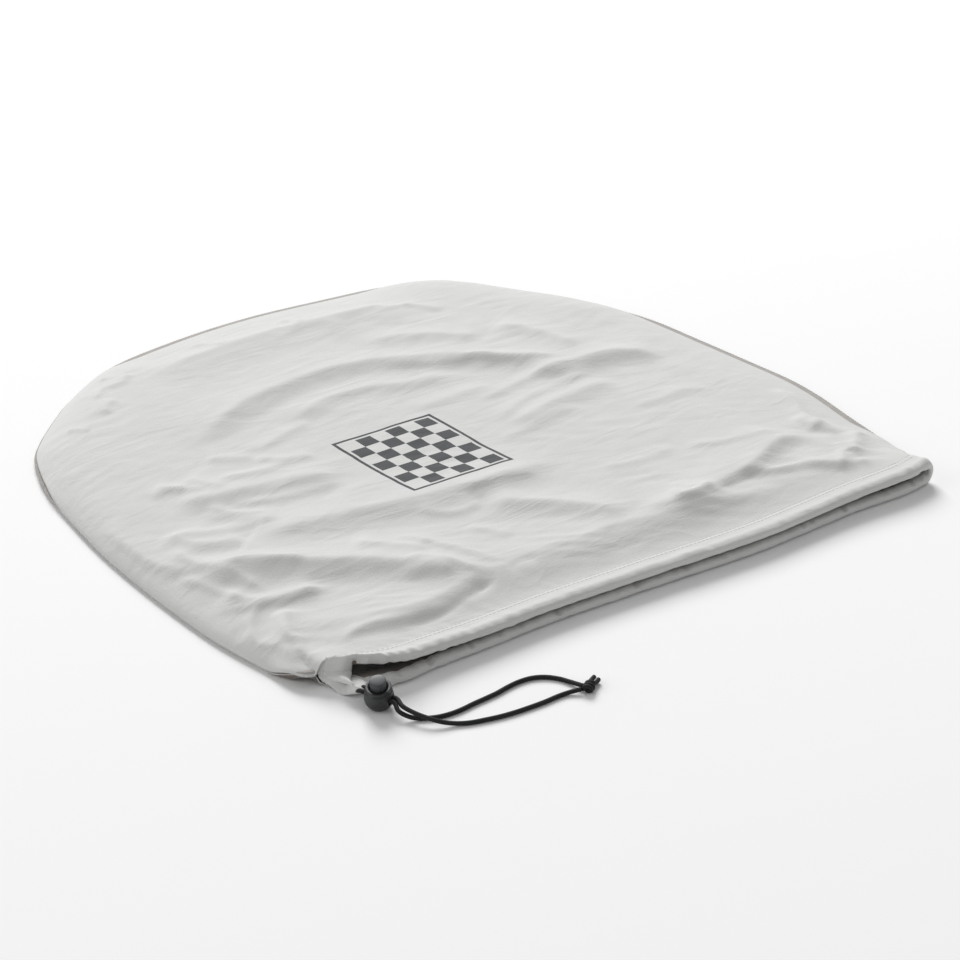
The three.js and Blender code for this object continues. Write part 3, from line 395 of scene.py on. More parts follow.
# name, height of the crest, rise, width in front, width behind, hollow in front, points
FOLDS = (
    ("front ridge", 17.5, 2.5, 12, 24, 0.5,
     ((-198, 95), (-186, 77), (-170, 67), (-150, 59), (-130, 55), (-100, 59), (-70, 63), (-20, 63),
      (20, 62), (45, 57), (70, 54), (110, 50), (150, 44))),
    ("lip over the left pocket", 14, 2.0, 4, 7, 0.0,
     ((-195, 38), (-185, 45), (-172, 47), (-155, 43), (-140, 41), (-120, 41), (-88, 47))),
    ("long diagonal", 20, 4.8, 15, 26, 3.2,
     ((-196, 182), (-192, 165), (-188, 155), (-175, 148), (-160, 140), (-140, 127), (-120, 113),
      (-105, 97), (-95, 85), (-85, 78), (-68, 64))),
    ("diagonal head", 19, 2.4, 9, 12, 1.0, ((-196, 216), (-190, 193), (-178, 184), (-158, 180))),
    ("ridge under the print", 20, 3.0, 15, 20, 2.6,
     ((-168, 182), (-130, 177), (-90, 170), (-60, 163), (0, 157), (55, 157))),
    ("small diagonal", 19, 1.7, 7, 9, 0.6, ((-118, 140), (-105, 125), (-85, 102))),
    ("middle diagonal", 19, 3.0, 12, 17, 1.8,
     ((-24, 138), (-5, 122), (10, 108), (20, 95), (28, 82), (33, 68))),
    ("upper left ridge", 18, 2.8, 12, 17, 2.2,
     ((-176, 243), (-150, 232), (-120, 228), (-80, 218), (-66, 211))),
    ("faint line a", 18, 1.1, 5, 7, 0.3, ((-168, 221), (-150, 203), (-134, 187))),
    ("faint line b", 18, 1.1, 6, 8, 0.3, ((-126, 281), (-112, 272), (-98, 264))),
    ("faint line c", 17, 1.0, 5, 6, 0.3, ((-171, 266), (-165, 258), (-159, 249))),
    ("faint line d", 17, 1.0, 5, 6, 0.3, ((-151, 263), (-145, 250), (-139, 237))),
    ("base ridge", 15, 3.6, 24, 14, 1.8,
     ((-100, 398), (-60, 405), (0, 409), (50, 404), (80, 401), (110, 391), (124, 383))),
    ("upper arc", 18, 3.1, 12, 22, 1.8,
     ((-134, 298), (-100, 312), (-60, 331), (0, 339), (40, 333), (60, 322), (80, 313), (95, 300),
      (120, 280), (162, 257))),
    ("lower arc", 18, 1.9, 9, 13, 0.8, ((-62, 294), (0, 307), (20, 303), (40, 295), (82, 291))),
    ("right ridge", 17, 3.2, 12, 17, 2.6,
     ((103, 259), (130, 252), (155, 252), (175, 250), (188, 243), (204, 233))),
    ("right low ridge", 18, 2.1, 10, 11, 0.8, ((52, 206), (80, 213), (105, 220), (154, 223))),
    ("faint line e", 18, 1.0, 6, 8, 0.3, ((18, 262), (50, 263), (84, 262))),
    ("right shoulder a", 17, 1.9, 10, 12, 0.6, ((48, 363), (90, 345), (120, 319))),
    ("right shoulder b", 16, 2.0, 10, 12, 0.6, ((133, 333), (150, 310), (161, 268))),
    ("pocket ridge", 18, 2.9, 8, 26, 1.7,
     ((42, 77), (66, 62), (80, 60), (100, 65), (120, 71), (140, 76), (160, 86), (180, 92),
      (195, 87), (205, 83))),
    ("corner ridge", 15, 2.2, 6, 9, 1.2,
     ((118, 71), (130, 63), (145, 59), (160, 57), (170, 50), (180, 42), (197, 36))),
    ("corner fold a", 14, 1.8, 5, 5, 0.6, ((195, 42), (193, 30), (195, 22), (200, 15))),
    ("corner fold b", 13, 1.6, 5, 6, 0.6, ((226, 74), (210, 60), (200, 50), (195, 41))),
    ("corner fold c", 14, 1.3, 5, 5, 0.4, ((201, 64), (198, 56), (195, 49))),
    ("left edge line", 12, 1.5, 5, 6, 0.4, ((-225, 242), (-225, 180), (-214, 151))),
    ("left edge roll", 14, 2.4, 7, 10, 0.8, ((-208, 192), (-208, 165), (-197, 130), (-191, 110))),
    ("left edge spur", 15, 2.2, 7, 9, 0.8,
     ((-215, 131), (-207, 117), (-200, 109), (-185, 105), (-160, 101))),
    ("left corner line", 13, 1.8, 6, 7, 0.5, ((-194, 92), (-205, 76), (-216, 59))),
    ("left rim line", 8, 1.2, 4, 5, 0.3, ((-238, 82), (-232, 65), (-225, 55), (-228, 30))),
    ("right edge fold", 13, 2.2, 6, 10, 0.8,
     ((229, 152), (218, 120), (211, 108), (208, 95), (212, 73))),
    ("base pucker a", 9, 0.9, 3, 4, 0.2, ((-121, 409), (-118, 415), (-115, 421))),
    ("base pucker b", 9, 0.9, 3, 4, 0.2, ((-141, 384), (-133, 392), (-125, 401))),
    ("base pucker c", 9, 0.9, 3, 4, 0.2, ((-181, 356), (-175, 350), (-169, 344))),
    ("left pocket", 12, -2.4, 3, 4, 0.0,
     ((-158, 34), (-145, 32), (-130, 33), (-114, 38), (-92, 43), (-80, 46))),
    ("pocket tail", 12, -1.2, 4, 4, 0.0, ((-125, 30), (-117, 27), (-108, 29))),
    ("small pocket", 12, -0.8, 3, 5, 0.0, ((-72, 49), (-60, 51), (-48, 50))),
    ("right pocket", 13, -1.3, 3, 5, 0.0, ((82, 52), (100, 54), (125, 58), (150, 58), (168, 50))),
    ("crease 1", 17, 1.5, 3, 5, 0.6, ((74, 77), (69, 68), (67, 61), (80, 60), (98, 66))),
    ("crease 2", 17, 0.9, 3, 4, 0.3, ((79, 82), (79, 74), (80, 64))),
    ("crease 3", 18, 1.2, 4, 6, 0.5, ((-197, 152), (-180, 150), (-166, 141), (-150, 131))),
    ("crease 4", 19, 1.4, 4, 6, 0.6, ((-92, 132), (-80, 112), (-70, 90), (-60, 66))),
    ("crease 5", 19, 1.0, 3, 5, 0.4, ((-108, 100), (-96, 92), (-84, 74), (-78, 62))),
    ("crease 6", 19, 1.1, 4, 6, 0.4, ((-62, 152), (-50, 140), (-40, 136), (-20, 138))),
    ("crease 7", 19, 1.0, 4, 6, 0.4, ((-200, 207), (-180, 202), (-160, 196), (-128, 191))),
    ("crease 8", 18, 1.1, 3, 5, 0.4, ((-160, 226), (-152, 212), (-142, 203), (-130, 196))),
    ("crease 9", 18, 1.0, 3, 5, 0.4, ((-150, 219), (-130, 214), (-105, 208), (-72, 205))),
    ("crease 10", 18, 1.0, 3, 5, 0.3, ((-180, 257), (-165, 259), (-155, 250), (-146, 243))),
    ("crease 11", 18, 1.0, 3, 5, 0.3, ((-136, 252), (-120, 247), (-104, 245), (-80, 248))),
    ("crease 12", 18, 1.1, 4, 6, 0.4, ((-96, 268), (-80, 276), (-64, 282), (-40, 286))),
    ("crease 13", 18, 1.2, 4, 6, 0.4, ((-100, 266), (-92, 254), (-80, 248), (-66, 246))),
    ("crease 14", 18, 1.0, 4, 6, 0.4, ((40, 326), (62, 312), (84, 303), (112, 294))),
    ("crease 15", 18, 1.0, 4, 6, 0.4, ((96, 300), (104, 290), (118, 280), (140, 268))),
    ("crease 16", 18, 1.0, 4, 6, 0.4, ((46, 216), (64, 223), (84, 232), (112, 238), (150, 240))),
    ("crease 17", 18, 1.0, 4, 6, 0.4, ((58, 246), (84, 252), (112, 256), (150, 256))),
    ("crease 18", 18, 0.9, 4, 6, 0.3, ((34, 196), (60, 198), (84, 203), (110, 206))),
    ("crease 19", 17, 1.4, 4, 5, 0.6, ((210, 116), (206, 104), (209, 92), (214, 78))),
    ("crease 20", 17, 1.2, 4, 6, 0.5, ((200, 92), (208, 96), (222, 98))),
    ("crease 21", 16, 1.5, 4, 5, 0.6, ((-196, 96), (-203, 84), (-207, 72), (-209, 58))),
    ("crease 22", 15, 1.6, 4, 5, 0.6, ((-226, 30), (-219, 40), (-212, 52), (-204, 66))),
    ("crease 23", 14, 1.4, 3, 4, 0.5, ((-214, 26), (-210, 34), (-206, 44))),
    ("crease 24", 13, 1.2, 3, 5, 0.4, ((-231, 60), (-224, 82), (-214, 96), (-201, 104))),
    ("crease 25", 15, 1.1, 4, 6, 0.3, ((-40, 434), (-32, 422), (-28, 408))),
    ("crease 26", 15, 1.0, 4, 6, 0.3, ((26, 428), (31, 418), (34, 407))),
    ("crease 27", 14, 1.0, 4, 6, 0.3, ((-122, 402), (-108, 404), (-98, 414))),
    ("crease 28", 15, 1.1, 4, 6, 0.3, ((-142, 368), (-136, 378), (-124, 384))),
    ("crease 29", 16, 1.0, 4, 6, 0.3, ((106, 398), (118, 386), (124, 372))),
    ("crease 30", 17, 1.0, 3, 5, 0.4, ((196, 62), (188, 50), (176, 40))),
    ("crease 31", 18, 1.2, 4, 6, 0.4, ((-30, 150), (-6, 150), (14, 147), (30, 150))),
    ("crease 32", 17, 1.1, 3, 5, 0.4, ((-218, 168), (-212, 148), (-207, 130), (-205, 116))),
    ("crease 33", 17, 1.0, 3, 4, 0.3, ((-222, 126), (-208, 113), (-190, 106), (-152, 103))),
    ("crease 34", 18, 1.0, 4, 6, 0.3, ((-118, 88), (-104, 80), (-92, 70))),
    ("crease 35", 19, 0.9, 4, 6, 0.3, ((-50, 118), (-40, 106), (-34, 92))),
    ("crease 36", 18, 0.9, 4, 6, 0.3, ((120, 122), (140, 112), (160, 106), (184, 102))),
    ("crease 37", 18, 0.8, 4, 6, 0.3, ((60, 128), (90, 122), (118, 124))),
    ("crease 38", 18, 0.8, 4, 6, 0.3, ((130, 186), (152, 182), (176, 184), (196, 178))),
)
print(f"{len(FOLDS)} folds and creases charted")


# %% Fold shapes
FOLD_SHARPNESS = 1.15
FOLD_FADE = 0.2
FOLD_GAIN = 1.45
CREST_ROUNDING = 1.0
HOLLOW_STARTS, HOLLOW_ENDS = 1.6, 2.2


def smooth_step(t):
    t = np.clip(t, 0, 1)
    return t * t * (3 - 2 * t)


def run_along(line):
    """Length of a line of points from its start to each of them."""
    return np.concatenate([[0], np.cumsum(np.linalg.norm(np.diff(line, axis=0), axis=1))])


def nearest_on(line, x, y):
    """Distance to a line of points, the share of its length there, and the hand it is passed on."""
    lengths = run_along(line)
    best = np.full(x.shape, np.inf)
    along = np.zeros_like(x)
    hand = np.zeros_like(x)
    for i, (a, b) in enumerate(zip(line, line[1:])):
        dx, dy = b - a
        ox, oy = x - a[0], y - a[1]
        t = np.clip((ox * dx + oy * dy) / (dx * dx + dy * dy), 0, 1)
        distance = np.hypot(ox - t * dx, oy - t * dy)
        closer = distance < best
        best = np.where(closer, distance, best)
        here = lengths[i] + t * (lengths[i + 1] - lengths[i])
        along = np.where(closer, here / lengths[-1], along)
        hand = np.where(closer, dx * oy - dy * ox, hand)
    return best, along, hand


def crest_line(height, points):
    shift = CHART_ORIGIN - (height - SIGHT_PLANE) * SIGHT_SHIFT
    line = smooth_line([(px + shift[0], py + shift[1], 0.0) for px, py in points], 5)
    return np.array([(p.x, p.y) for p in line])


CRESTS = [crest_line(fold[1], fold[6]) for fold in FOLDS]
print(f"crests: {sum(len(line) for line in CRESTS)} points")


def fold_height(x, y):
    total = np.zeros_like(x)
    for (_, _, rise, front, back, hollow, _), line in zip(FOLDS, CRESTS):
        distance, along, hand = nearest_on(line, x, y)
        behind = hand > 0
        reach = np.where(behind, back, front)
        crest = np.sqrt(distance**2 + CREST_ROUNDING**2) - CREST_ROUNDING
        ridge = rise * np.exp(-((crest / reach) ** FOLD_SHARPNESS))
        past = distance / front
        dip = hollow * smooth_step(past / HOLLOW_STARTS) * np.exp(-past / HOLLOW_ENDS)
        trough = np.where(behind, 0.0, -dip)
        fade = smooth_step(along / FOLD_FADE) * smooth_step((1 - along) / FOLD_FADE)
        total += (ridge + trough) * fade
    return FOLD_GAIN * total


# %% [markdown]
# ## Panels
# The upper panel is a grid of about two millimetres, raised to a low cushion of trapped air, with
# the charted folds on top and a little noise so that no stretch of cloth is perfectly smooth. A
# displaced material would be less work, but then the mesh itself would have no folds. It gets its
# thickness afterwards, from a Solidify modifier. Its rim curls down over the seam on the left and
# is drawn inwards at the base and on the right, where the seam strip shows. The lower panel is the
# same patch, flat on the table, rolled up only at the two corners of the mouth.

# %% Heights of the two panels
CLOTH = 0.9
CAD_CLOTH = 1.2
SEAM_THICKNESS = 2.0
LOW_SEAM = CAD_CLOTH + GAP + SEAM_THICKNESS / 2
CORNER_LENGTH = 30.0
PUFF_HEIGHT = 15.5
SHOULDER_NEAR = 9.0
SHOULDER_FAR = 19.0
SHOULDER_SLACK = 36.0
RIM_LOWER = 0.35
WRINKLE_RISE, PUCKER_RISE = 0.5, 0.45
CURL_OUT, CURL_DOWN, CURL_REACH = 1.5, 2.0, 3.5
TUCK, TUCK_REACH = 4.5, 26.0
SLACK_BASE_Y, SLACK_BASE_LEFT, SLACK_BASE_RIGHT = 130, -115, 135
SLACK_SIDE_X, SLACK_SIDE_FRONT, SLACK_SIDE_BACK = 130, -165, 100
CURL_LEFT_OF, CURL_IN_FRONT_OF = -150, 90
FINE_PUCKER, BROAD_PUCKER = 5.5, 16
TALL_PUCKERS, FINE_RISE, BROAD_RISE = 2.2, 0.45, 0.6
RIDGE_SPACING, UNEVEN_SPACING = 11, 34


def mix(a, b, t):
    return a + (b - a) * t


def from_corner(x, y):
    """0 at a corner of the mouth, 1 where the seam has come down to the table."""
    end_back = np.where(x < 0, float(back_edge(MOUTH_LEFT)), float(back_edge(MOUTH_RIGHT)))
    return smooth_step((y - end_back - GAP) / CORNER_LENGTH)


def seam_height(x, y):
    middle = np.where(x < 0, float(loop_middle(MOUTH_LEFT)), float(loop_middle(MOUTH_RIGHT)))
    return mix(middle, LOW_SEAM, from_corner(x, y))


def seam_room(x, y):
    return mix(GAP / 2, GAP + SEAM_THICKNESS / 2, from_corner(x, y))


# %% Noise, slack and gathers
def wrinkle(x, y, size, seed):
    """Smooth noise in plan, from -1 to 1."""
    spots = zip(x.ravel(), y.ravel())
    flat = [noise.noise(Vector((px / size, py / size, seed))) for px, py in spots]
    return np.array(flat).reshape(x.shape)


def noise_along(run, size, seed, layer):
    """Smooth noise along a line, from -1 to 1."""
    return np.array([noise.noise(Vector((v / size, seed, layer))) for v in run])


def slack(x, y):
    """1 where the upper panel falls gently to its rim and lets the seam strip show, else 0."""
    base = smooth_step((y - SLACK_BASE_Y) / 50)
    base = base * smooth_step((x - SLACK_BASE_LEFT) / 40) * smooth_step((SLACK_BASE_RIGHT - x) / 40)
    side = smooth_step((x - SLACK_SIDE_X) / 50)
    side = side * smooth_step((y - SLACK_SIDE_FRONT) / 30) * smooth_step((SLACK_SIDE_BACK - y) / 50)
    return np.maximum(base, side)


def curl(x, y):
    """1 where the upper panel curls down over the seam strip, on the left side, else 0."""
    return smooth_step((CURL_LEFT_OF - x) / 40) * smooth_step((CURL_IN_FRONT_OF - y) / 40)


def gather(x, seed, turned=False):
    """Puckers across a casing: tall and close near the left corner, faint elsewhere."""
    near_left = np.exp(-np.maximum(x - MOUTH_LEFT - 8, 0) / 40)
    near_right = 0.5 * np.exp(-(MOUTH_RIGHT - x) / 25)
    at = 2 * LOOP_START - x if turned else x
    fine = noise_along(at, FINE_PUCKER, seed, 0.0)
    broad = noise_along(at, BROAD_PUCKER, seed, 5.0)
    return (near_left + near_right) * TALL_PUCKERS * fine + FINE_RISE * fine + BROAD_RISE * broad


def fine_wrinkles(x, y):
    """Small ridges that wander the way the big folds run, and a slow unevenness under them."""
    wander = 9 * wrinkle(x, y, 60, 3.0)
    lean = np.where(y < 0, 0.42, -0.1) * smooth_step(np.abs(y) / 60)
    across = y + lean * x + wander
    ridges = 1 - 2.2 * np.abs(wrinkle(x * 0.3, across, RIDGE_SPACING, 5.0))
    ridges = ridges * (0.5 + 0.9 * wrinkle(x, y, 45, 8.0))
    uneven = 0.5 * wrinkle(x, y, UNEVEN_SPACING, 2.0) + 0.2 * wrinkle(x, y, 12, 7.0)
    return uneven + WRINKLE_RISE * ridges


def pucker(x, behind):
    """Small ridges that the gathered casing sends back into the panel."""
    column = gather(x[0], 11.0)[None, :] if x.ndim == 2 else gather(x, 11.0)
    return PUCKER_RISE * column * np.exp(-np.maximum(behind, 0) / 9)


# %% Height and rim of each panel
def top_height(x, y):
    distance = nearest_on(RIM[:, :2], x, y)[0]
    rim_top = seam_height(x, y) + seam_room(x, y) + CAD_CLOTH - RIM_LOWER
    shoulder = mix(SHOULDER_FAR, SHOULDER_NEAR, smooth_step(-x / HALF - 0.2))
    shoulder = mix(shoulder, SHOULDER_SLACK, slack(x, y))
    full = mix(rim_top, PUFF_HEIGHT, 1 - np.exp(-distance / shoulder))
    edge_fade = smooth_step(distance / shoulder)
    field = full + (fold_height(x, y) + fine_wrinkles(x, y)) * edge_fade
    behind = y - back_edge(x)
    hem_top = loop_middle(x) + casing_rise(x) + CAD_CLOTH / 2 + pucker(x, behind)
    return mix(hem_top, field, smooth_step(behind / (1.6 * HEM_DEPTH)))


def bottom_height(x, y):
    lift = np.maximum(seam_height(x, y) - seam_room(x, y) - CAD_CLOTH, 0)
    inside = np.maximum(lift - nearest_on(RIM[:, :2], x, y)[0], 0)
    rolled = lift - np.sqrt(np.maximum(lift**2 - inside**2, 0))
    front = loop_radius(x) - casing_rise(x)
    end_back = np.where(x < 0, float(back_edge(MOUTH_LEFT)), float(back_edge(MOUTH_RIGHT)))
    behind = np.maximum((y - end_back - GAP) / CORNER_LENGTH, (y - back_edge(x)) / HEM_DEPTH)
    return mix(front, rolled, smooth_step(behind))


def shape_rim(plan):
    """Sets the upper panel's height, curls its left rim down and draws its slack rim inwards."""
    x, y = plan[..., 0].copy(), plan[..., 1].copy()
    distance, along, _ = nearest_on(RIM[:, :2], x, y)
    plan[..., 2] = top_height(x, y)
    lengths = run_along(RIM[:, :2])
    direction = np.gradient(RIM[:, :2], axis=0)
    direction /= np.linalg.norm(direction, axis=1)[:, None]
    out_x = np.interp(along, lengths / lengths[-1], -direction[:, 1])
    out_y = np.interp(along, lengths / lengths[-1], direction[:, 0])
    near = np.clip(1 - distance / CURL_REACH, 0, 1) * curl(x, y)
    outward = CURL_OUT * np.sqrt(near) - TUCK * slack(x, y) * np.exp(-distance / TUCK_REACH)
    plan[..., 0] += out_x * outward
    plan[..., 1] += out_y * outward
    plan[..., 2] -= CURL_DOWN * near**1.5
    return plan


# %% Upper and lower panel
TOP_COLUMNS, TOP_ROWS = 230, 196
plan = shape_rim(panel_plan(TOP_COLUMNS, TOP_ROWS))
top_panel = grid_piece("upper_panel_cloth", TOP_COLUMNS, TOP_ROWS, plan)
two_slots(top_panel)
count_faces(add_wall(top_panel, CLOTH, shade_slot=1))

BOTTOM_COLUMNS, BOTTOM_ROWS = 90, 80
plan = panel_plan(BOTTOM_COLUMNS, BOTTOM_ROWS, 0.7)
plan[..., 2] = bottom_height(plan[..., 0], plan[..., 1])
bottom_panel = grid_piece("lower_panel_cloth", BOTTOM_COLUMNS, BOTTOM_ROWS, plan)
two_slots(bottom_panel)
count_faces(add_wall(bottom_panel, CLOTH, 1.0, shade_slot=1))

# %% [markdown]
# ## Casings
# The casing round the mouth is a flat tube of cloth with a fat rounded nose and a thin sewn back.
# A bevelled curve would keep one section all the way. A grid with a section of its own at every
# station can also be gathered, tilted and pulled out of shape, which is what this cloth does. Its
# upper and lower halves run side by side and turn to meet each other at the mouth's corners, so
# the section is tilted there. Gathers pucker it, most of all near the corner with the cord. There
# the sack is drawn together: the casing's nose is turned inwards, and the lower casing bulges over
# the cords where they leave it. Whole sections are moved, so the tube stays a tube. The side that
# faces into the mouth is painted a dark brown as shade, for the shadow inside the mouth.

# %% Section and gathers of a casing
SECTION = ((0, 0), (0.07, 0.7), (0.27, 1.0), (0.6, 0.66), (1.0, 0.37), (1.0, -0.37), (0.64, -0.7),
           (0.3, -1.0), (0.07, -0.68))
SECTION_STEPS = 4
STATION = 1.15
TURN_STATIONS = 15
DIP_SPACING, DIP_DEPTH = 7, 4.5
PUFF, NOSE_PUFF = 0.34, 0.6
SLIT_WIDTH, SLIT_LENGTH, SLIT_HEIGHT = 7.6, 5.0, 3.6
SLIT_CUT = SLIT + Vector((5.0, -11.6, 7.2))
CORNER_IN, CORNER_BACK, CORNER_FADE, CORNER_SWING = 18.0, 8.0, 29.0, 0.9
CORNER_LOW, CORNER_RISE, BACK_KEEPS = 1.0, 8.5, 0.85
COVER_OUT, COVER_UP, COVER_AT, COVER_WIDE = 16.0, 3.0, 2.2, 8.0
COVER_FRONT, COVER_LEAN, NOSE_SHARE = 0.6, 0.4, 1.6
# How deep into a casing's section the faces turned into the mouth start to be painted as shade.
SHADE_FROM_UPPER, SHADE_FROM_LOWER, SHADE_FROM_COVER = 0.16, 0.34, 0.8


def closed_section():
    """The section's points, close together, from the nose over the top and back to the nose."""
    ring = [Vector((*point, 0.0)) for point in (SECTION[-1], *SECTION, SECTION[0], SECTION[1])]
    line = smooth_line(ring, SECTION_STEPS)
    last = SECTION_STEPS * (len(SECTION) + 1)
    return np.array([(p.x, p.y) for p in line[SECTION_STEPS:last + 1]])


def casing_stations():
    turn = 1 - np.cos(np.linspace(0, math.pi / 2, TURN_STATIONS))
    left = MOUTH_LEFT + turn * float(loop_radius(MOUTH_LEFT))
    right = MOUTH_RIGHT - turn * float(loop_radius(MOUTH_RIGHT))
    count = int((right[-1] - left[-1]) / STATION)
    return np.concatenate([left, np.linspace(left[-1], right[-1], count)[1:-1], right[::-1]])


def casing_frame(x, side):
    """Middle line of a casing and the direction that its section's height points in."""
    r = loop_radius(x)
    rise = casing_rise(x)
    turned = np.arccos(np.clip(rise / r, 0, 1))
    middle = np.stack([x, front_edge(x), loop_middle(x) + side * rise], axis=-1)
    sideways = np.sign(x) * np.sin(turned)
    swung = CORNER_SWING * np.exp(-(x - MOUTH_LEFT) / CORNER_FADE)
    outward = np.stack(
        [sideways * np.cos(swung), sideways * np.sin(swung), side * np.cos(turned)], axis=-1)
    return middle, outward


def dips(x, seed):
    """Small notches in the lower casing's upper edge, one every centimetre or two."""
    return DIP_DEPTH * np.maximum(noise_along(x, DIP_SPACING, seed, 3.0) - 0.08, 0)


def loop_run(x):
    """Place along the loop: the same as x in the straight, and longer round the loop's left end."""
    r = loop_radius(x)
    turned = r * np.arccos(np.clip(1 - (x - MOUTH_LEFT) / r, -1, 1))
    return np.where(x - MOUTH_LEFT < r, MOUTH_LEFT - (math.pi / 2 - 1) * r + turned, x)


# %% The drawn-in corner and the bulge over the cords
def turn_corner(places, middle, deep):
    """Turns the nose of the loop's left end inwards, where the sack's corner is drawn together."""
    near = np.exp(-(middle[:, 0] - MOUTH_LEFT) / CORNER_FADE)
    near = near * smooth_step((middle[:, 2] - CORNER_LOW) / CORNER_RISE)
    share = near[None] * (1 - BACK_KEEPS * deep)
    places[..., 0] += CORNER_IN * share
    places[..., 1] += CORNER_BACK * share
    return places


def cover_slit(places, middle, deep, high):
    """The lower casing bulges over the cords where they leave it, most of all along its top."""
    lying = smooth_step((middle[0, 2] - middle[:, 2]) / HEM_HEIGHT) * (middle[:, 0] < 0)
    across = np.exp(-(((middle[:, 0] - SLIT.x - COVER_AT) / COVER_WIDE) ** 2)) * lying
    bulge = across[None] * np.clip(1 - NOSE_SHARE * deep, 0, 1)
    places[..., 1] -= COVER_OUT * bulge * (COVER_FRONT + COVER_LEAN * high)
    places[..., 2] += COVER_UP * bulge * (1 + high)
    return places


def loop_gather(run, seed, side):
    """Gathers that run on from the upper casing into the lower one, round either end."""
    if side > 0:
        return gather(run, seed)
    return mix(gather(run, seed), gather(run, seed, True), smooth_step((MOUTH_RIGHT - run) / 14))


def casing_places(x, side, ring):
    middle, outward = casing_frame(x, side)
    run = loop_run(x)
    deep, high = ring[:, 0][:, None], ring[:, 1][:, None]
    free = np.clip(1.15 - deep, 0, 1) * np.abs(high)
    puff = 1 + PUFF * loop_gather(run, 11.0, side)[None, :] * free
    nose = NOSE_PUFF * loop_gather(run, 31.0, side)[None, :] * np.clip(1 - deep * NOSE_SHARE, 0, 1)
    notch = dips(x, 9.0)[None, :] * (side < 0)
    notch = notch * np.clip(-high, 0, 1) * np.clip(1.1 - deep * 1.5, 0, 1)
    lift = high * HEM_HEIGHT / 2 * puff + notch
    places = middle[None] + outward[None] * lift[..., None]
    places[..., 1] += deep * HEM_DEPTH + nose
    places = turn_corner(places, middle, deep)
    return places if side > 0 else cover_slit(places, middle, deep, -high)


# %% Upper and lower casing
RING = closed_section()
STATIONS = casing_stations()
print(f"casing: {len(RING)} points round, {len(STATIONS)} stations along")


def casing_piece(name, side):
    rows = RING if side > 0 else RING[::-1]
    places = casing_places(STATIONS, side, rows)
    places[..., 2] = np.maximum(places[..., 2], 0.05)
    places[:, (0, -1), 2] += side * 0.02
    piece = grid_piece(name, len(STATIONS), len(rows), places)
    two_slots(piece)
    # Faces turned into the mouth take slot 1, painted shade for the shadow in the gap.
    for face in piece.data.polygons:
        row, column = divmod(min(face.vertices), len(STATIONS))
        deep, high = rows[row]
        shade_from = SHADE_FROM_UPPER if side > 0 else SHADE_FROM_LOWER
        if side < 0 and STATIONS[column] < SLIT.x + 12:
            shade_from = SHADE_FROM_COVER
        face.material_index = int(high < -0.05 and deep > shade_from)
    activate(piece)
    weld = piece.modifiers.new("weld", "WELD")
    weld.merge_threshold = 0.02 * MM
    bpy.ops.object.modifier_apply(modifier=weld.name)
    return add_wall(piece, CLOTH)


upper_casing = count_faces(casing_piece("upper_casing_cloth", 1))
lower_casing = casing_piece("lower_casing_cloth", -1)

# %% Slit for the cords
deselect()
bpy.ops.mesh.primitive_cube_add(size=1)
slit_cutter = bpy.context.active_object
slit_cutter.scale = Vector((SLIT_WIDTH, SLIT_LENGTH, SLIT_HEIGHT)) * MM
slit_cutter.location = SLIT_CUT * MM
bpy.ops.object.transform_apply(location=True, rotation=False, scale=True)
rounding = slit_cutter.modifiers.new("rounding", "BEVEL")
rounding.width, rounding.segments = 1.6 * MM, 4
bpy.ops.object.modifier_apply(modifier=rounding.name)
activate(lower_casing)
cut = lower_casing.modifiers.new("slit", "BOOLEAN")
cut.object, cut.operation, cut.solver = slit_cutter, "DIFFERENCE", "EXACT"
bpy.ops.object.modifier_apply(modifier=cut.name)
bpy.data.objects.remove(slit_cutter)
for casing in (upper_casing, lower_casing):
    activate(casing)
    bpy.ops.object.shade_smooth_by_angle(angle=math.radians(60))
count_faces(lower_casing)

# %% Cord inside the casing
CORD_DEEP = 0.32
CORD_FROM = -190.0


def casing_cord_line():
    """Along the upper casing from near the drawn-in corner, round the right end and back below."""
    middle = np.array([(CORD_DEEP, 0.0)])
    right = STATIONS[-TURN_STATIONS:]
    above = np.linspace(CORD_FROM, right[0] - 1, 150)
    below = np.linspace(right[0] - 1, SLIT.x + 12, 160)
    upper = casing_places(np.concatenate([above, right[:-1]]), 1, middle)[0]
    lower = casing_places(np.concatenate([right[::-1], below[1:]]), -1, middle)[0]
    return [Vector(place) for place in np.concatenate([upper, lower])]


casing_cord = cord_curve("cord_in_casing", smooth_line(casing_cord_line(), 2), CORD_DIAMETER / 2)
print(f"cord in the casing: {len(casing_cord.data.splines[0].points)} points")

# %% [markdown]
# ## Seam and stitches
# A strip of overlocked cloth joins the panels' rims. It shows as a darker edge under the upper
# panel. Threads are small rods with rounded ends that lie on the cloth: two rows along the back of
# the upper casing, which run on round the left corner, and a row of slanting ones over the strip.
# One rod is made and copied, because there are hundreds of them. A picture of threads would be
# lighter, but flat when seen from near by.

# %% Edge seam
SEAM_SHOW, SEAM_INSIDE = 1.5, 3.5
SEAM_STEPS = 12
SQUARED = 0.6


def rim_frame(points):
    """Directions along and away from a line of rim points."""
    along = np.gradient(points, axis=0)
    along /= np.linalg.norm(along, axis=1)[:, None]
    return along, np.stack([-along[:, 1], along[:, 0], np.zeros(len(along))], axis=-1)


def seam_rim(step):
    line = whole_rim(400)
    length = run_along(line)
    at = np.linspace(0, length[-1], int(length[-1] / step))
    line = np.stack([np.interp(at, length, line[:, k]) for k in range(3)], axis=-1)
    line[:, 2] = seam_height(line[:, 0], line[:, 1])
    return line


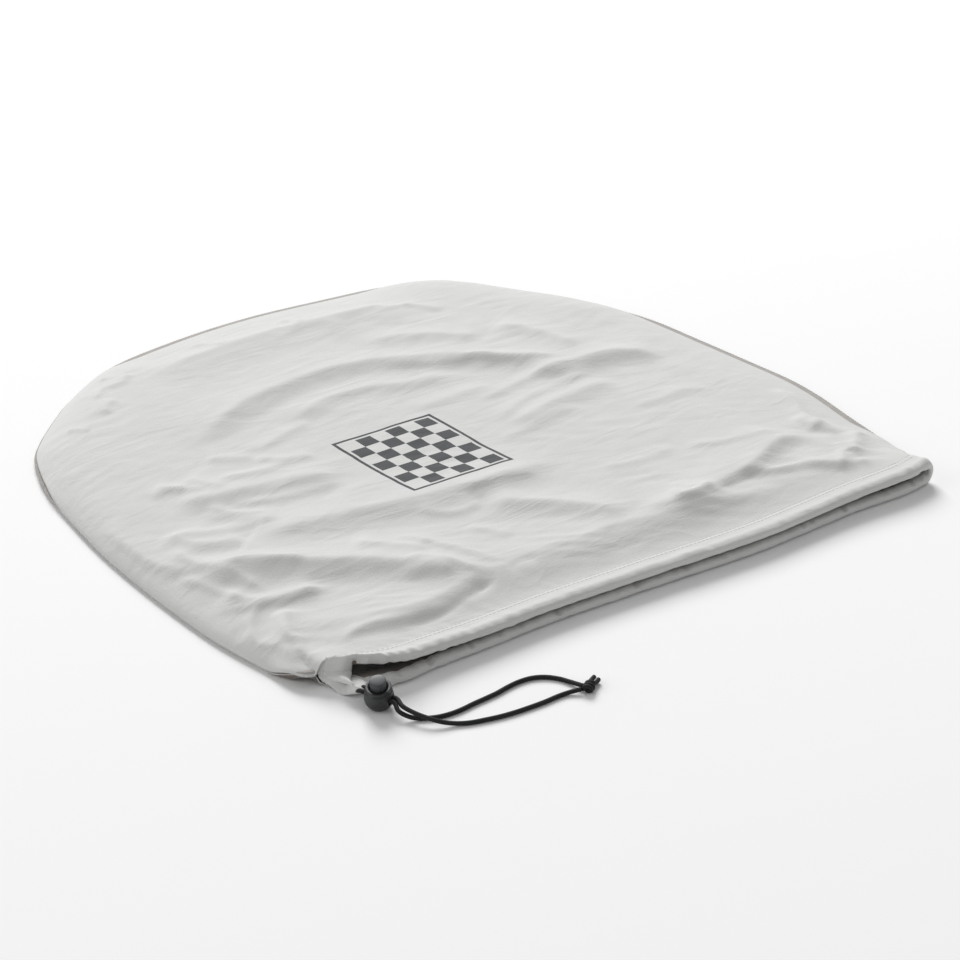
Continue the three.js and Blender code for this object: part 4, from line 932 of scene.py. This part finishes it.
def close_ends(piece):
    """Welds a tube made from a grid along its length and fills its two ends."""
    activate(piece)
    bpy.ops.object.mode_set(mode="EDIT")
    bpy.ops.mesh.select_all(action="SELECT")
    bpy.ops.mesh.remove_doubles(threshold=0.01 * MM)
    bpy.ops.mesh.select_all(action="SELECT")
    bpy.ops.mesh.fill_holes(sides=0)
    bpy.ops.mesh.select_all(action="SELECT")
    bpy.ops.mesh.normals_make_consistent(inside=False)
    bpy.ops.object.mode_set(mode="OBJECT")
    return smooth_faces(piece)


def edge_strip():
    line = seam_rim(2.0)
    _, outward = rim_frame(line)
    angle = np.linspace(0, 2 * math.pi, SEAM_STEPS + 1)
    half = (SEAM_SHOW + SEAM_INSIDE) / 2
    cosine, sine = np.cos(angle), np.sin(angle)
    out = (SEAM_SHOW - SEAM_INSIDE) / 2 + half * np.sign(cosine) * np.abs(cosine) ** SQUARED
    up = np.sign(sine) * np.abs(sine) ** SQUARED * SEAM_THICKNESS / 2
    narrow = mix(1.0, 0.72, smooth_step(1 - from_corner(line[:, 0], line[:, 1])))
    back = curl(line[:, 0], line[:, 1])
    ripple = 0.25 * noise_along(range(len(line)), 4.0, 2.0, 1.0)
    wide = 1 + 1.3 * slack(line[:, 0], line[:, 1])
    across = np.where(out[:, None] < 0, out[:, None] * wide[None], out[:, None])
    places = line[None] + outward[None] * (across + ripple[None] - 0.7 * back[None])[..., None]
    places[..., 2] = line[None, :, 2] - 0.2 * back[None] + up[:, None] * narrow[None]
    return close_ends(grid_piece("edge_seam_strip", len(line), len(angle), places))


edge_seam = count_faces(edge_strip())

# %% Stitches
STITCH_LENGTH, STITCH_PITCH, STITCH_THICK = 2.4, 3.0, 0.45


def rod_template(sides=6):
    """Points of a rod of length 1 along X with rounded ends, and its faces."""
    rings = ((-0.44, 0.7), (-0.3, 1.0), (0.3, 1.0), (0.44, 0.7))
    points, faces = [], []
    for along, thick in rings:
        for k in range(sides):
            angle = 2 * math.pi * k / sides
            points.append((along, thick * math.cos(angle), thick * math.sin(angle)))
    for ring in range(len(rings) - 1):
        for k in range(sides):
            a, b = ring * sides + k, ring * sides + (k + 1) % sides
            faces.append((a, b, b + sides, a + sides))
    first, last = len(points), len(points) + 1
    points += [(-0.5, 0, 0), (0.5, 0, 0)]
    top = (len(rings) - 1) * sides
    for k in range(sides):
        faces.append((first, (k + 1) % sides, k))
        faces.append((last, top + k, top + (k + 1) % sides))
    return np.array(points, dtype=float), faces


def stitches(name, places, along, up, length, thick):
    """Rods laid on a surface: places, directions along and away from it, all in millimetres."""
    template, template_faces = rod_template()
    points, faces = [], []
    for place, direction, normal in zip(places, along, up):
        direction = direction / np.linalg.norm(direction)
        side = np.cross(normal, direction)
        side /= np.linalg.norm(side)
        normal = np.cross(direction, side)
        size = np.array((length, thick / 2, thick / 2))
        start = len(points) * len(template)
        points.append(place + (template * size) @ np.stack([direction, side, normal]))
        faces += [tuple(start + i for i in face) for face in template_faces]
    piece = mesh_piece(name, np.concatenate(points), faces)
    return count_faces(piece)


def row_on_casing(deep):
    """Stitch places along the casing's outer side, from under the left corner to the right."""
    at = int(np.argmin(np.abs(RING[:len(RING) // 2, 0] - deep)))
    turn = 1 - np.cos(np.linspace(0.02, math.pi / 2, 60))
    turn = MOUTH_LEFT + turn * float(loop_radius(MOUTH_LEFT))
    along_mouth = np.concatenate([turn, np.linspace(turn[-1] + 0.4, MOUTH_RIGHT - 6, 900)])
    upper = casing_places(along_mouth, 1, RING[at - 1:at + 2])
    lower = casing_places(turn[:42][::-1], -1, RING[at - 1:at + 2])
    path = np.concatenate([lower, upper], axis=1)
    length = run_along(path[1])
    steps = np.arange(0.5, length[-1], STITCH_PITCH)
    before, line, after = (
        np.stack([np.interp(steps, length, row[:, k]) for k in range(3)], axis=-1) for row in path)
    along = np.gradient(line, axis=0)
    up = np.cross(along, after - before)
    up /= np.linalg.norm(up, axis=1)[:, None]
    return line, along, up


rows = [row_on_casing(deep) for deep in (0.8, 0.97)]
casing_stitches = stitches("casing_stitches", *[np.concatenate(part) for part in zip(*rows)],
                           STITCH_LENGTH, STITCH_THICK)

line = seam_rim(2.6)[1:-1]
past_corner = from_corner(line[:, 0], line[:, 1]) > 0.99
in_sight = curl(line[:, 0], line[:, 1]) < 0.01
line = line[past_corner & in_sight]
along, outward = rim_frame(line)
up = np.tile(np.array((0.0, 0.0, 1.0)), (len(line), 1))
places = line + outward * (SEAM_SHOW - 1.3) + up * (SEAM_THICKNESS / 2 - 0.12)
seam_stitches = stitches("edge_seam_stitches", places, outward + along * 0.4, up, 2.5, 0.45)

# %% [markdown]
# ## Cord lock
# A squat barrel with a round hole in its top, a lip round the hole and a window across it for the
# cord. The button stands in the hole on a spring and has a slot of its own. A bevelled cylinder
# would do for the button, but the barrel's waist and groove need a drawn profile. So both are
# turned from one with an applied Screw modifier, cut with applied booleans and lightly bevelled.

# %% Turned pieces of the lock
BARREL = ((0.42, 0), (0.7, 0.06), (0.9, 0.2), (1, 0.4), (0.97, 0.62), (0.88, 0.86), (0.86, 0.96),
          (0.82, 1))
BUTTON_DIAMETER = 9.0
BUTTON_RISE = 4.8
BUTTON_TRAVEL = 3.0
LOCK_FLOOR = 1.4
LOCK_BORE = BUTTON_DIAMETER / 2 + GAP
BUTTON_BOTTOM = LOCK_FLOOR + GAP + BUTTON_TRAVEL
WINDOW_WIDTH = CORD_SPACING + CORD_DIAMETER + 2 * GAP
LOCK_TURN = Matrix((LOCK_THROUGH, LOCK_ACROSS, LOCK_AXIS)).transposed().to_4x4()


def turned(name, profile, steps=72):
    """A body of revolution about Z from (radius, height) points that start and end on the axis."""
    data = bpy.data.meshes.new(name)
    edges = [(i, i + 1) for i in range(len(profile) - 1)]
    data.from_pydata([(r, 0.0, z) for r, z in profile], edges, [])
    piece = bpy.data.objects.new(name, data)
    bpy.context.scene.collection.objects.link(piece)
    activate(piece)
    screw = piece.modifiers.new("turn", "SCREW")
    screw.steps = screw.render_steps = steps
    screw.use_merge_vertices = True
    screw.merge_threshold = 0.001
    bpy.ops.object.modifier_apply(modifier=screw.name)
    bpy.ops.object.mode_set(mode="EDIT")
    bpy.ops.mesh.select_all(action="SELECT")
    bpy.ops.mesh.remove_doubles(threshold=0.001)
    bpy.ops.mesh.normals_make_consistent(inside=False)
    bpy.ops.object.mode_set(mode="OBJECT")
    return piece


def cut_across(piece, length, bottom, top):
    bpy.ops.mesh.primitive_cube_add(size=1)
    cutter = bpy.context.active_object
    cutter.scale = (length, WINDOW_WIDTH, top - bottom)
    cutter.location = (0, 0, (bottom + top) / 2)
    bpy.ops.object.transform_apply(location=True, rotation=False, scale=True)
    activate(piece)
    cut = piece.modifiers.new("cut", "BOOLEAN")
    cut.object, cut.operation, cut.solver = cutter, "DIFFERENCE", "EXACT"
    bpy.ops.object.modifier_apply(modifier=cut.name)
    bpy.data.objects.remove(cutter)


def finish_lock_piece(piece, edge):
    """Bevels the edges, then sets the piece in its place in metres with nothing left to turn."""
    activate(piece)
    bevel = piece.modifiers.new("edges", "BEVEL")
    bevel.width, bevel.segments, bevel.limit_method = edge, 2, "ANGLE"
    bevel.angle_limit = math.radians(40)
    bpy.ops.object.modifier_apply(modifier=bevel.name)
    piece.data.transform(Matrix.Scale(MM, 4) @ Matrix.Translation(LOCK_PLACE) @ LOCK_TURN)
    piece.data.update()
    activate(piece)
    bpy.ops.object.shade_smooth_by_angle(angle=math.radians(22))
    return count_faces(piece)


# %% Lock body and button
lock_radius = LOCK_DIAMETER / 2
wall = [Vector((out * lock_radius, up * LOCK_HEIGHT, 0)) for out, up in BARREL]
wall = [(p.x, p.y) for p in smooth_line(wall, 3)]
lip = LOCK_BORE + 0.9
groove_top = 0.86 * LOCK_HEIGHT
groove_radius = 0.8 * lock_radius
ring_radius = 0.865 * lock_radius
outside = [p for p in wall if p[1] < groove_top - 0.6]
profile = [(0, 0), *outside, (0.86 * lock_radius, groove_top - 0.5),
           (groove_radius, groove_top - 0.15), (groove_radius, groove_top + 0.2),
           (ring_radius, groove_top + 0.45), (ring_radius, LOCK_HEIGHT - 0.35),
           (ring_radius - 0.35, LOCK_HEIGHT), (lip, LOCK_HEIGHT), (LOCK_BORE, LOCK_HEIGHT - 0.9),
           (LOCK_BORE, LOCK_FLOOR), (0, LOCK_FLOOR)]
lock_body = turned("lock_barrel", profile)
window_top = CORD_IN_LOCK + CORD_DIAMETER / 2 + GAP
window_bottom = window_top - CORD_DIAMETER - 2 * GAP - 1
cut_across(lock_body, 2 * LOCK_DIAMETER, window_bottom, window_top)
finish_lock_piece(lock_body, 0.22)

radius = BUTTON_DIAMETER / 2
top = LOCK_HEIGHT + BUTTON_RISE
edge = 0.45
dome = [(radius - edge + edge * math.cos(a), top - 0.2 - edge + edge * math.sin(a))
        for a in np.linspace(0, math.radians(80), 6)]
dome += [(radius * 0.4, top - 0.04), (0, top)]
lock_button = turned("lock_push_button", [(0, BUTTON_BOTTOM), (radius, BUTTON_BOTTOM), *dome])
slot_bottom = BUTTON_BOTTOM + 1.2
slot_top = slot_bottom + CORD_DIAMETER + 2 * GAP + BUTTON_TRAVEL
cut_across(lock_button, 2 * BUTTON_DIAMETER, slot_bottom, slot_top)
finish_lock_piece(lock_button, 0.18)

# %% [markdown]
# ## Knot
# The two ends are tied together. A tight little knot shows as a bulge of wound cord with two
# tails, and its crossings are hidden inside. So it isn't tied here: a cord winds round a core, and
# both tails point on past it. Each is a bevelled curve, turned into a mesh and joined.

# %% Knot
KNOT_PLACE = SLIT + Vector((109.6, -73.3, 3.0))
KNOT_TURN = 0.51
KNOT_LENGTH = 11.0
KNOT_WINDINGS = 2.3


def knot_lines():
    """The winding, the core that it goes round, and the two tails."""
    turns = []
    for t in np.linspace(0, 1, 61):
        angle = 2 * math.pi * KNOT_WINDINGS * t + 0.6
        turns.append(Vector((-3.1 + 6.0 * t, 2.2 * math.cos(angle) - 0.3, 1.62 * math.sin(angle))))
    core = [(-3.9, 1.9, 0.0), (-1.5, 0.4, 0.1), (1.8, -0.3, 0.0), (4.4, 0.3, 0.0)]
    tails = []
    for aside, length in ((0.13, 1.15), (-0.13, 1.0)):
        tails.append([(0.5, aside * 6, 0.2), (KNOT_LENGTH / 2, aside * KNOT_LENGTH, -0.5),
                      (KNOT_LENGTH * 0.8, aside * 13, -0.9),
                      (length * KNOT_LENGTH, aside * 12.1, -1.0)])
    return [turns, *[smooth_line(points, 6) for points in (core, *tails)]]


def knot():
    place = Matrix.Translation(KNOT_PLACE) @ Matrix.Rotation(KNOT_TURN, 4, "Z")
    parts = []
    for number, line in enumerate(knot_lines()):
        part = cord_curve(f"knot_part_{number}", [place @ p for p in line], CORD_DIAMETER / 2)
        activate(part)
        bpy.ops.object.convert(target="MESH")
        parts.append(bpy.context.active_object)
    deselect()
    for part in parts:
        part.select_set(True)
    bpy.context.view_layer.objects.active = parts[0]
    bpy.ops.object.join()
    piece = bpy.context.active_object
    piece.name = piece.data.name = "cord_knot"
    return count_faces(smooth_faces(piece))


end_knot = knot()

# %% [markdown]
# ## Materials
# Each shared effect is a shader node group with named inputs, and works from object coordinates,
# so it stays put on the cloth however the pose changes. Photographs of cloth could be wrapped
# round the pieces instead, but noise needs no files and shows no joins. What never varies is set
# on the shader itself. A plain chequered patch with a thin border is printed on the upper panel,
# at the depth of the dye: it changes the cloth's colour and leaves its nap alone.

# %% Helpers for nodes
def new_group(name, inputs, outputs):
    group = bpy.data.node_groups.new(name, "ShaderNodeTree")
    for label, kind, value in inputs:
        socket = group.interface.new_socket(label, in_out="INPUT", socket_type=kind)
        if value is not None:
            socket.default_value = value
    for label, kind in outputs:
        group.interface.new_socket(label, in_out="OUTPUT", socket_type=kind)
    return group, group.nodes.new("NodeGroupInput"), group.nodes.new("NodeGroupOutput")


def node(tree, kind, **settings):
    made = tree.nodes.new(kind)
    for key, value in settings.items():
        setattr(made, key, value)
    return made


def maths(tree, operation, a, b=None, c=None):
    made = node(tree, "ShaderNodeMath", operation=operation)
    for socket, value in zip(made.inputs, (a, b, c)):
        if value is None:
            continue
        if isinstance(value, (int, float)):
            socket.default_value = value
        else:
            tree.links.new(value, socket)
    return made.outputs[0]


# %% Brushed nap of the knit
def nap_group():
    """Brushed knit: a mottled tone and a fine uneven surface."""
    group, ins, outs = new_group("brushed_nap", [
        ("Color", "NodeSocketColor", (0.7, 0.7, 0.69, 1.0)), ("Mottle", "NodeSocketFloat", 0.08),
        ("Grain", "NodeSocketFloat", 900.0), ("Depth", "NodeSocketFloat", 0.3),
        ("Creases", "NodeSocketFloat", 0.42),
    ], [("Color", "NodeSocketColor"), ("Normal", "NodeSocketVector")])
    where = node(group, "ShaderNodeTexCoord")
    fine = node(group, "ShaderNodeTexNoise")
    fine.inputs["Detail"].default_value = 3.0
    coarse = node(group, "ShaderNodeTexNoise")
    coarse.inputs["Scale"].default_value = 70.0
    coarse.inputs["Detail"].default_value = 4.0
    group.links.new(where.outputs["Object"], fine.inputs["Vector"])
    group.links.new(where.outputs["Object"], coarse.inputs["Vector"])
    group.links.new(ins.outputs["Grain"], fine.inputs["Scale"])
    both = maths(group, "ADD", fine.outputs["Fac"], coarse.outputs["Fac"])
    centred = maths(group, "SUBTRACT", both, 1.0)
    tone = maths(group, "MULTIPLY_ADD", centred, ins.outputs["Mottle"], 1.0)
    scale = node(group, "ShaderNodeVectorMath", operation="SCALE")
    group.links.new(ins.outputs["Color"], scale.inputs[0])
    group.links.new(tone, scale.inputs["Scale"])
    bump = node(group, "ShaderNodeBump")
    bump.inputs["Distance"].default_value = 0.0006
    group.links.new(ins.outputs["Depth"], bump.inputs["Strength"])
    group.links.new(both, bump.inputs["Height"])
    turn = node(group, "ShaderNodeMapping")
    turn.inputs["Rotation"].default_value = (0.0, 0.0, 0.5)
    turn.inputs["Scale"].default_value = (0.35, 1.0, 1.0)
    group.links.new(where.outputs["Object"], turn.inputs["Vector"])
    fold = node(group, "ShaderNodeTexNoise")
    fold.inputs["Scale"].default_value = 44.0
    fold.inputs["Detail"].default_value = 3.5
    fold.inputs["Distortion"].default_value = 0.5
    group.links.new(turn.outputs[0], fold.inputs["Vector"])
    valley = maths(group, "ABSOLUTE", maths(group, "SUBTRACT", fold.outputs["Fac"], 0.5))
    creases = node(group, "ShaderNodeBump", invert=True)
    creases.inputs["Distance"].default_value = 0.004
    group.links.new(ins.outputs["Creases"], creases.inputs["Strength"])
    group.links.new(valley, creases.inputs["Height"])
    group.links.new(bump.outputs[0], creases.inputs["Normal"])
    group.links.new(scale.outputs[0], outs.inputs["Color"])
    group.links.new(creases.outputs[0], outs.inputs["Normal"])
    return group


# %% Braid of the cord
def braid_group():
    """Braided cord: crossing slanted ribs in tone and height."""
    group, ins, outs = new_group("braided_cord", [
        ("Color", "NodeSocketColor", (0.01, 0.01, 0.01, 1.0)),
        ("Sheen tone", "NodeSocketFloat", 0.6), ("Ribs", "NodeSocketFloat", 420.0),
        ("Depth", "NodeSocketFloat", 0.5),
    ], [("Color", "NodeSocketColor"), ("Normal", "NodeSocketVector")])
    where = node(group, "ShaderNodeTexCoord")
    heights = []
    for turn in (0.7, -0.7):
        mapping = node(group, "ShaderNodeMapping")
        mapping.inputs["Rotation"].default_value = (0.4, 0.3, turn)
        group.links.new(where.outputs["Object"], mapping.inputs["Vector"])
        wave = node(group, "ShaderNodeTexWave")
        wave.inputs["Distortion"].default_value = 0.6
        group.links.new(mapping.outputs[0], wave.inputs["Vector"])
        group.links.new(ins.outputs["Ribs"], wave.inputs["Scale"])
        heights.append(wave.outputs["Fac"])
    ribs = maths(group, "MAXIMUM", heights[0], heights[1])
    tone = maths(group, "MULTIPLY_ADD", ribs, ins.outputs["Sheen tone"], 0.7)
    scale = node(group, "ShaderNodeVectorMath", operation="SCALE")
    group.links.new(ins.outputs["Color"], scale.inputs[0])
    group.links.new(tone, scale.inputs["Scale"])
    bump = node(group, "ShaderNodeBump")
    bump.inputs["Distance"].default_value = 0.0003
    group.links.new(ins.outputs["Depth"], bump.inputs["Strength"])
    group.links.new(ribs, bump.inputs["Height"])
    group.links.new(scale.outputs[0], outs.inputs["Color"])
    group.links.new(bump.outputs[0], outs.inputs["Normal"])
    return group


# %% Chequered patch
def patch_group():
    """Mask of a chequered square with a thin border, seen from above, from 0 to 1."""
    group, ins, outs = new_group("chequered_patch", [
        ("Centre X", "NodeSocketFloat", 0.0), ("Centre Y", "NodeSocketFloat", 0.0),
        ("Width", "NodeSocketFloat", 0.08), ("Length", "NodeSocketFloat", 0.08),
        ("Check", "NodeSocketFloat", 0.012), ("Border", "NodeSocketFloat", 0.0022),
        ("Inset", "NodeSocketFloat", 0.004),
    ], [("Mask", "NodeSocketFloat")])
    where = node(group, "ShaderNodeTexCoord")
    split = node(group, "ShaderNodeSeparateXYZ")
    group.links.new(where.outputs["Object"], split.inputs[0])
    depths, cells = [], []
    for axis, size in (("X", "Width"), ("Y", "Length")):
        offset = maths(group, "SUBTRACT", split.outputs[axis], ins.outputs[f"Centre {axis}"])
        half = maths(group, "MULTIPLY", ins.outputs[size], 0.5)
        depths.append(maths(group, "SUBTRACT", half, maths(group, "ABSOLUTE", offset)))
        corner = maths(group, "SUBTRACT", half, ins.outputs["Inset"])
        cell = maths(group, "DIVIDE", maths(group, "ADD", offset, corner), ins.outputs["Check"])
        cells.append(maths(group, "FLOOR", cell))
    depth = maths(group, "MINIMUM", *depths)
    inside = maths(group, "GREATER_THAN", depth, 0.0)
    past_border = maths(group, "GREATER_THAN", depth, ins.outputs["Border"])
    in_field = maths(group, "GREATER_THAN", depth, ins.outputs["Inset"])
    frame_line = maths(group, "SUBTRACT", inside, past_border)
    odd = maths(group, "FLOORED_MODULO", maths(group, "ADD", *cells), 2.0)
    field = maths(group, "MULTIPLY", odd, in_field)
    group.links.new(maths(group, "MAXIMUM", frame_line, field), outs.inputs["Mask"])
    return group


# %% Grain of the plastic
def grain_group():
    """Moulded plastic: a very fine even grain."""
    group, ins, outs = new_group("moulded_grain", [
        ("Grain", "NodeSocketFloat", 2200.0), ("Depth", "NodeSocketFloat", 0.12),
    ], [("Normal", "NodeSocketVector")])
    where = node(group, "ShaderNodeTexCoord")
    speck = node(group, "ShaderNodeTexNoise")
    group.links.new(where.outputs["Object"], speck.inputs["Vector"])
    group.links.new(ins.outputs["Grain"], speck.inputs["Scale"])
    bump = node(group, "ShaderNodeBump")
    bump.inputs["Distance"].default_value = 0.0002
    group.links.new(ins.outputs["Depth"], bump.inputs["Strength"])
    group.links.new(speck.outputs["Fac"], bump.inputs["Height"])
    group.links.new(bump.outputs[0], outs.inputs["Normal"])
    return group


GROUPS = {made.name: made for made in (nap_group(), braid_group(), patch_group(), grain_group())}
print("node groups:", sorted(GROUPS))

# %% Recipes for the materials
def new_material(name):
    material = bpy.data.materials.new(name)
    material.use_nodes = True
    return material, material.node_tree, material.node_tree.nodes["Principled BSDF"]


def use_group(tree, name, **values):
    made = node(tree, "ShaderNodeGroup", node_tree=GROUPS[name])
    for label, value in values.items():
        made.inputs[label.replace("_", " ")].default_value = value
    return made


def cloth_material(name, color, mottle, printed=False):
    material, tree, shader = new_material(name)
    nap = use_group(tree, "brushed_nap", Color=(*color, 1.0), Mottle=mottle)
    shader.inputs["Roughness"].default_value = 0.95
    shader.inputs["Specular IOR Level"].default_value = 0.15
    shader.inputs["Sheen Weight"].default_value = 0.25
    tree.links.new(nap.outputs["Normal"], shader.inputs["Normal"])
    if printed:
        patch = use_group(tree, "chequered_patch", Width=0.0752, Length=0.0864, Check=0.0112)
        patch.inputs["Centre X"].default_value = -0.027
        patch.inputs["Centre Y"].default_value = -0.029
        ink = node(tree, "ShaderNodeMix", data_type="RGBA")
        ink.inputs["B"].default_value = (*INK, 1.0)
        tree.links.new(patch.outputs["Mask"], ink.inputs["Factor"])
        tree.links.new(nap.outputs["Color"], ink.inputs["A"])
        tree.links.new(ink.outputs["Result"], shader.inputs["Base Color"])
    else:
        tree.links.new(nap.outputs["Color"], shader.inputs["Base Color"])
    return material


def plastic_material(name, color, roughness):
    material, tree, shader = new_material(name)
    grain = use_group(tree, "moulded_grain")
    shader.inputs["Base Color"].default_value = (*color, 1.0)
    shader.inputs["Roughness"].default_value = roughness
    tree.links.new(grain.outputs["Normal"], shader.inputs["Normal"])
    return material


def cord_material(name, color):
    material, tree, shader = new_material(name)
    braid = use_group(tree, "braided_cord", Color=(*color, 1.0))
    shader.inputs["Roughness"].default_value = 0.7
    shader.inputs["Specular IOR Level"].default_value = 0.3
    tree.links.new(braid.outputs["Color"], shader.inputs["Base Color"])
    tree.links.new(braid.outputs["Normal"], shader.inputs["Normal"])
    return material


# %% Cloth, thread, cord and plastic
INK = (0.058, 0.062, 0.066)
KNIT = (0.63, 0.63, 0.617)
panel_cloth = cloth_material("printed_knit", KNIT, 0.06, printed=True)
plain_cloth = cloth_material("plain_knit", KNIT, 0.06)
# Painted shade: a dark warm brown that stands for the shadow inside the sack and in its mouth.
painted_shade_cloth = cloth_material("shaded_inside", (0.16, 0.135, 0.12), 0.1)
strip_cloth = cloth_material("overlock_strip", (0.4, 0.38, 0.36), 0.25)
thread = cloth_material("pale_thread", (0.78, 0.78, 0.765), 0.1)
strip_thread = cloth_material("strip_thread", (0.5, 0.48, 0.46), 0.1)
cord_black = cord_material("black_cord", (0.012, 0.012, 0.013))
barrel_plastic = plastic_material("black_plastic", (0.018, 0.019, 0.02), 0.42)
button_plastic = plastic_material("grey_plastic", (0.037, 0.04, 0.042), 0.48)


def dress(piece, *materials):
    for slot, material in enumerate(materials):
        if slot < len(piece.data.materials):
            piece.data.materials[slot] = material
        else:
            piece.data.materials.append(material)


# Slot 1 of each cloth piece is the painted shade of its inside.
dress(top_panel, panel_cloth, painted_shade_cloth)
for piece in (bottom_panel, upper_casing, lower_casing):
    dress(piece, plain_cloth, painted_shade_cloth)
dress(edge_seam, strip_cloth)
dress(casing_stitches, thread)
dress(seam_stitches, strip_thread)
for piece in (strands["a"][0], strands["b"][0], end_knot, casing_cord):
    dress(piece, cord_black)
dress(lock_body, barrel_plastic)
dress(lock_button, button_plastic)
print("materials:", sorted(made.name for made in bpy.data.materials if made.users))

# %% [markdown]
# ## What each piece stands for
# Every piece rides on a body of the CAD and names the solids it replaces: the button moves with
# the lock's spring, and all else stays with the sack.

# %% Bodies that the pieces ride on
ON_BAG = {
    top_panel: ("cloth", "top_panel"), bottom_panel: ("cloth", "bottom_panel"),
    upper_casing: ("cloth", "hem_upper"), lower_casing: ("cloth", "hem_lower"),
    edge_seam: ("seam_thread", "edge_seam"), casing_stitches: ("seam_thread",),
    seam_stitches: ("seam_thread",), end_knot: ("cord", "end_knot"),
    casing_cord: ("cord", "drawcord"),
    lock_body: ("lock_plastic", "cord_lock_body"), strands["a"][0]: ("cord", "cord_strand_a"),
    strands["b"][0]: ("cord", "cord_strand_b"),
}
for piece, (slot, *nodes) in ON_BAG.items():
    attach(piece, "bag")
    if nodes:
        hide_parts(*nodes)
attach(lock_button, "lock_button")
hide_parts("cord_lock_button")

# %% [markdown]
# ## Studio
# A broad white floor, one large soft light above and behind the sack, a weaker one on its left and
# a pale sky as fill. A picture of a studio wrapped round the scene could light it too, but lamps
# can be aimed one by one until the slopes towards the camera are a little darker, as in the photo.

# %% Floor and lights
deselect()
bpy.ops.mesh.primitive_plane_add(size=12)
floor = bpy.context.active_object
floor.name = "floor"
paint, _, shader = new_material("studio_floor")
shader.inputs["Base Color"].default_value = (0.93, 0.93, 0.93, 1.0)
shader.inputs["Roughness"].default_value = 1.0
shader.inputs["Specular IOR Level"].default_value = 0.0
dress(floor, paint)


def area_light(name, place, aim, size, power):
    data = bpy.data.lights.new(name, "AREA")
    data.shape = "SQUARE"
    data.size = size
    data.energy = power
    lamp = bpy.data.objects.new(name, data)
    lamp.location = place
    lamp.rotation_euler = (Vector(aim) - Vector(place)).to_track_quat("-Z", "Y").to_euler()
    bpy.context.scene.collection.objects.link(lamp)
    return lamp


area_light("back_softbox", (2.4, 4.8, 4.1), (0, 0, 0), 3.4, 450)
area_light("left_fill", (-5.0, 1.4, 2.8), (0, 0, 0), 3.6, 62)

world = bpy.data.worlds.new("studio")
world.use_nodes = True
sky = world.node_tree.nodes["Background"]
sky.inputs["Color"].default_value = (1.0, 1.0, 1.0, 1.0)
sky.inputs["Strength"].default_value = 0.4
bpy.context.scene.world = world
bpy.context.scene.view_settings.view_transform = "Standard"
print("studio ready")
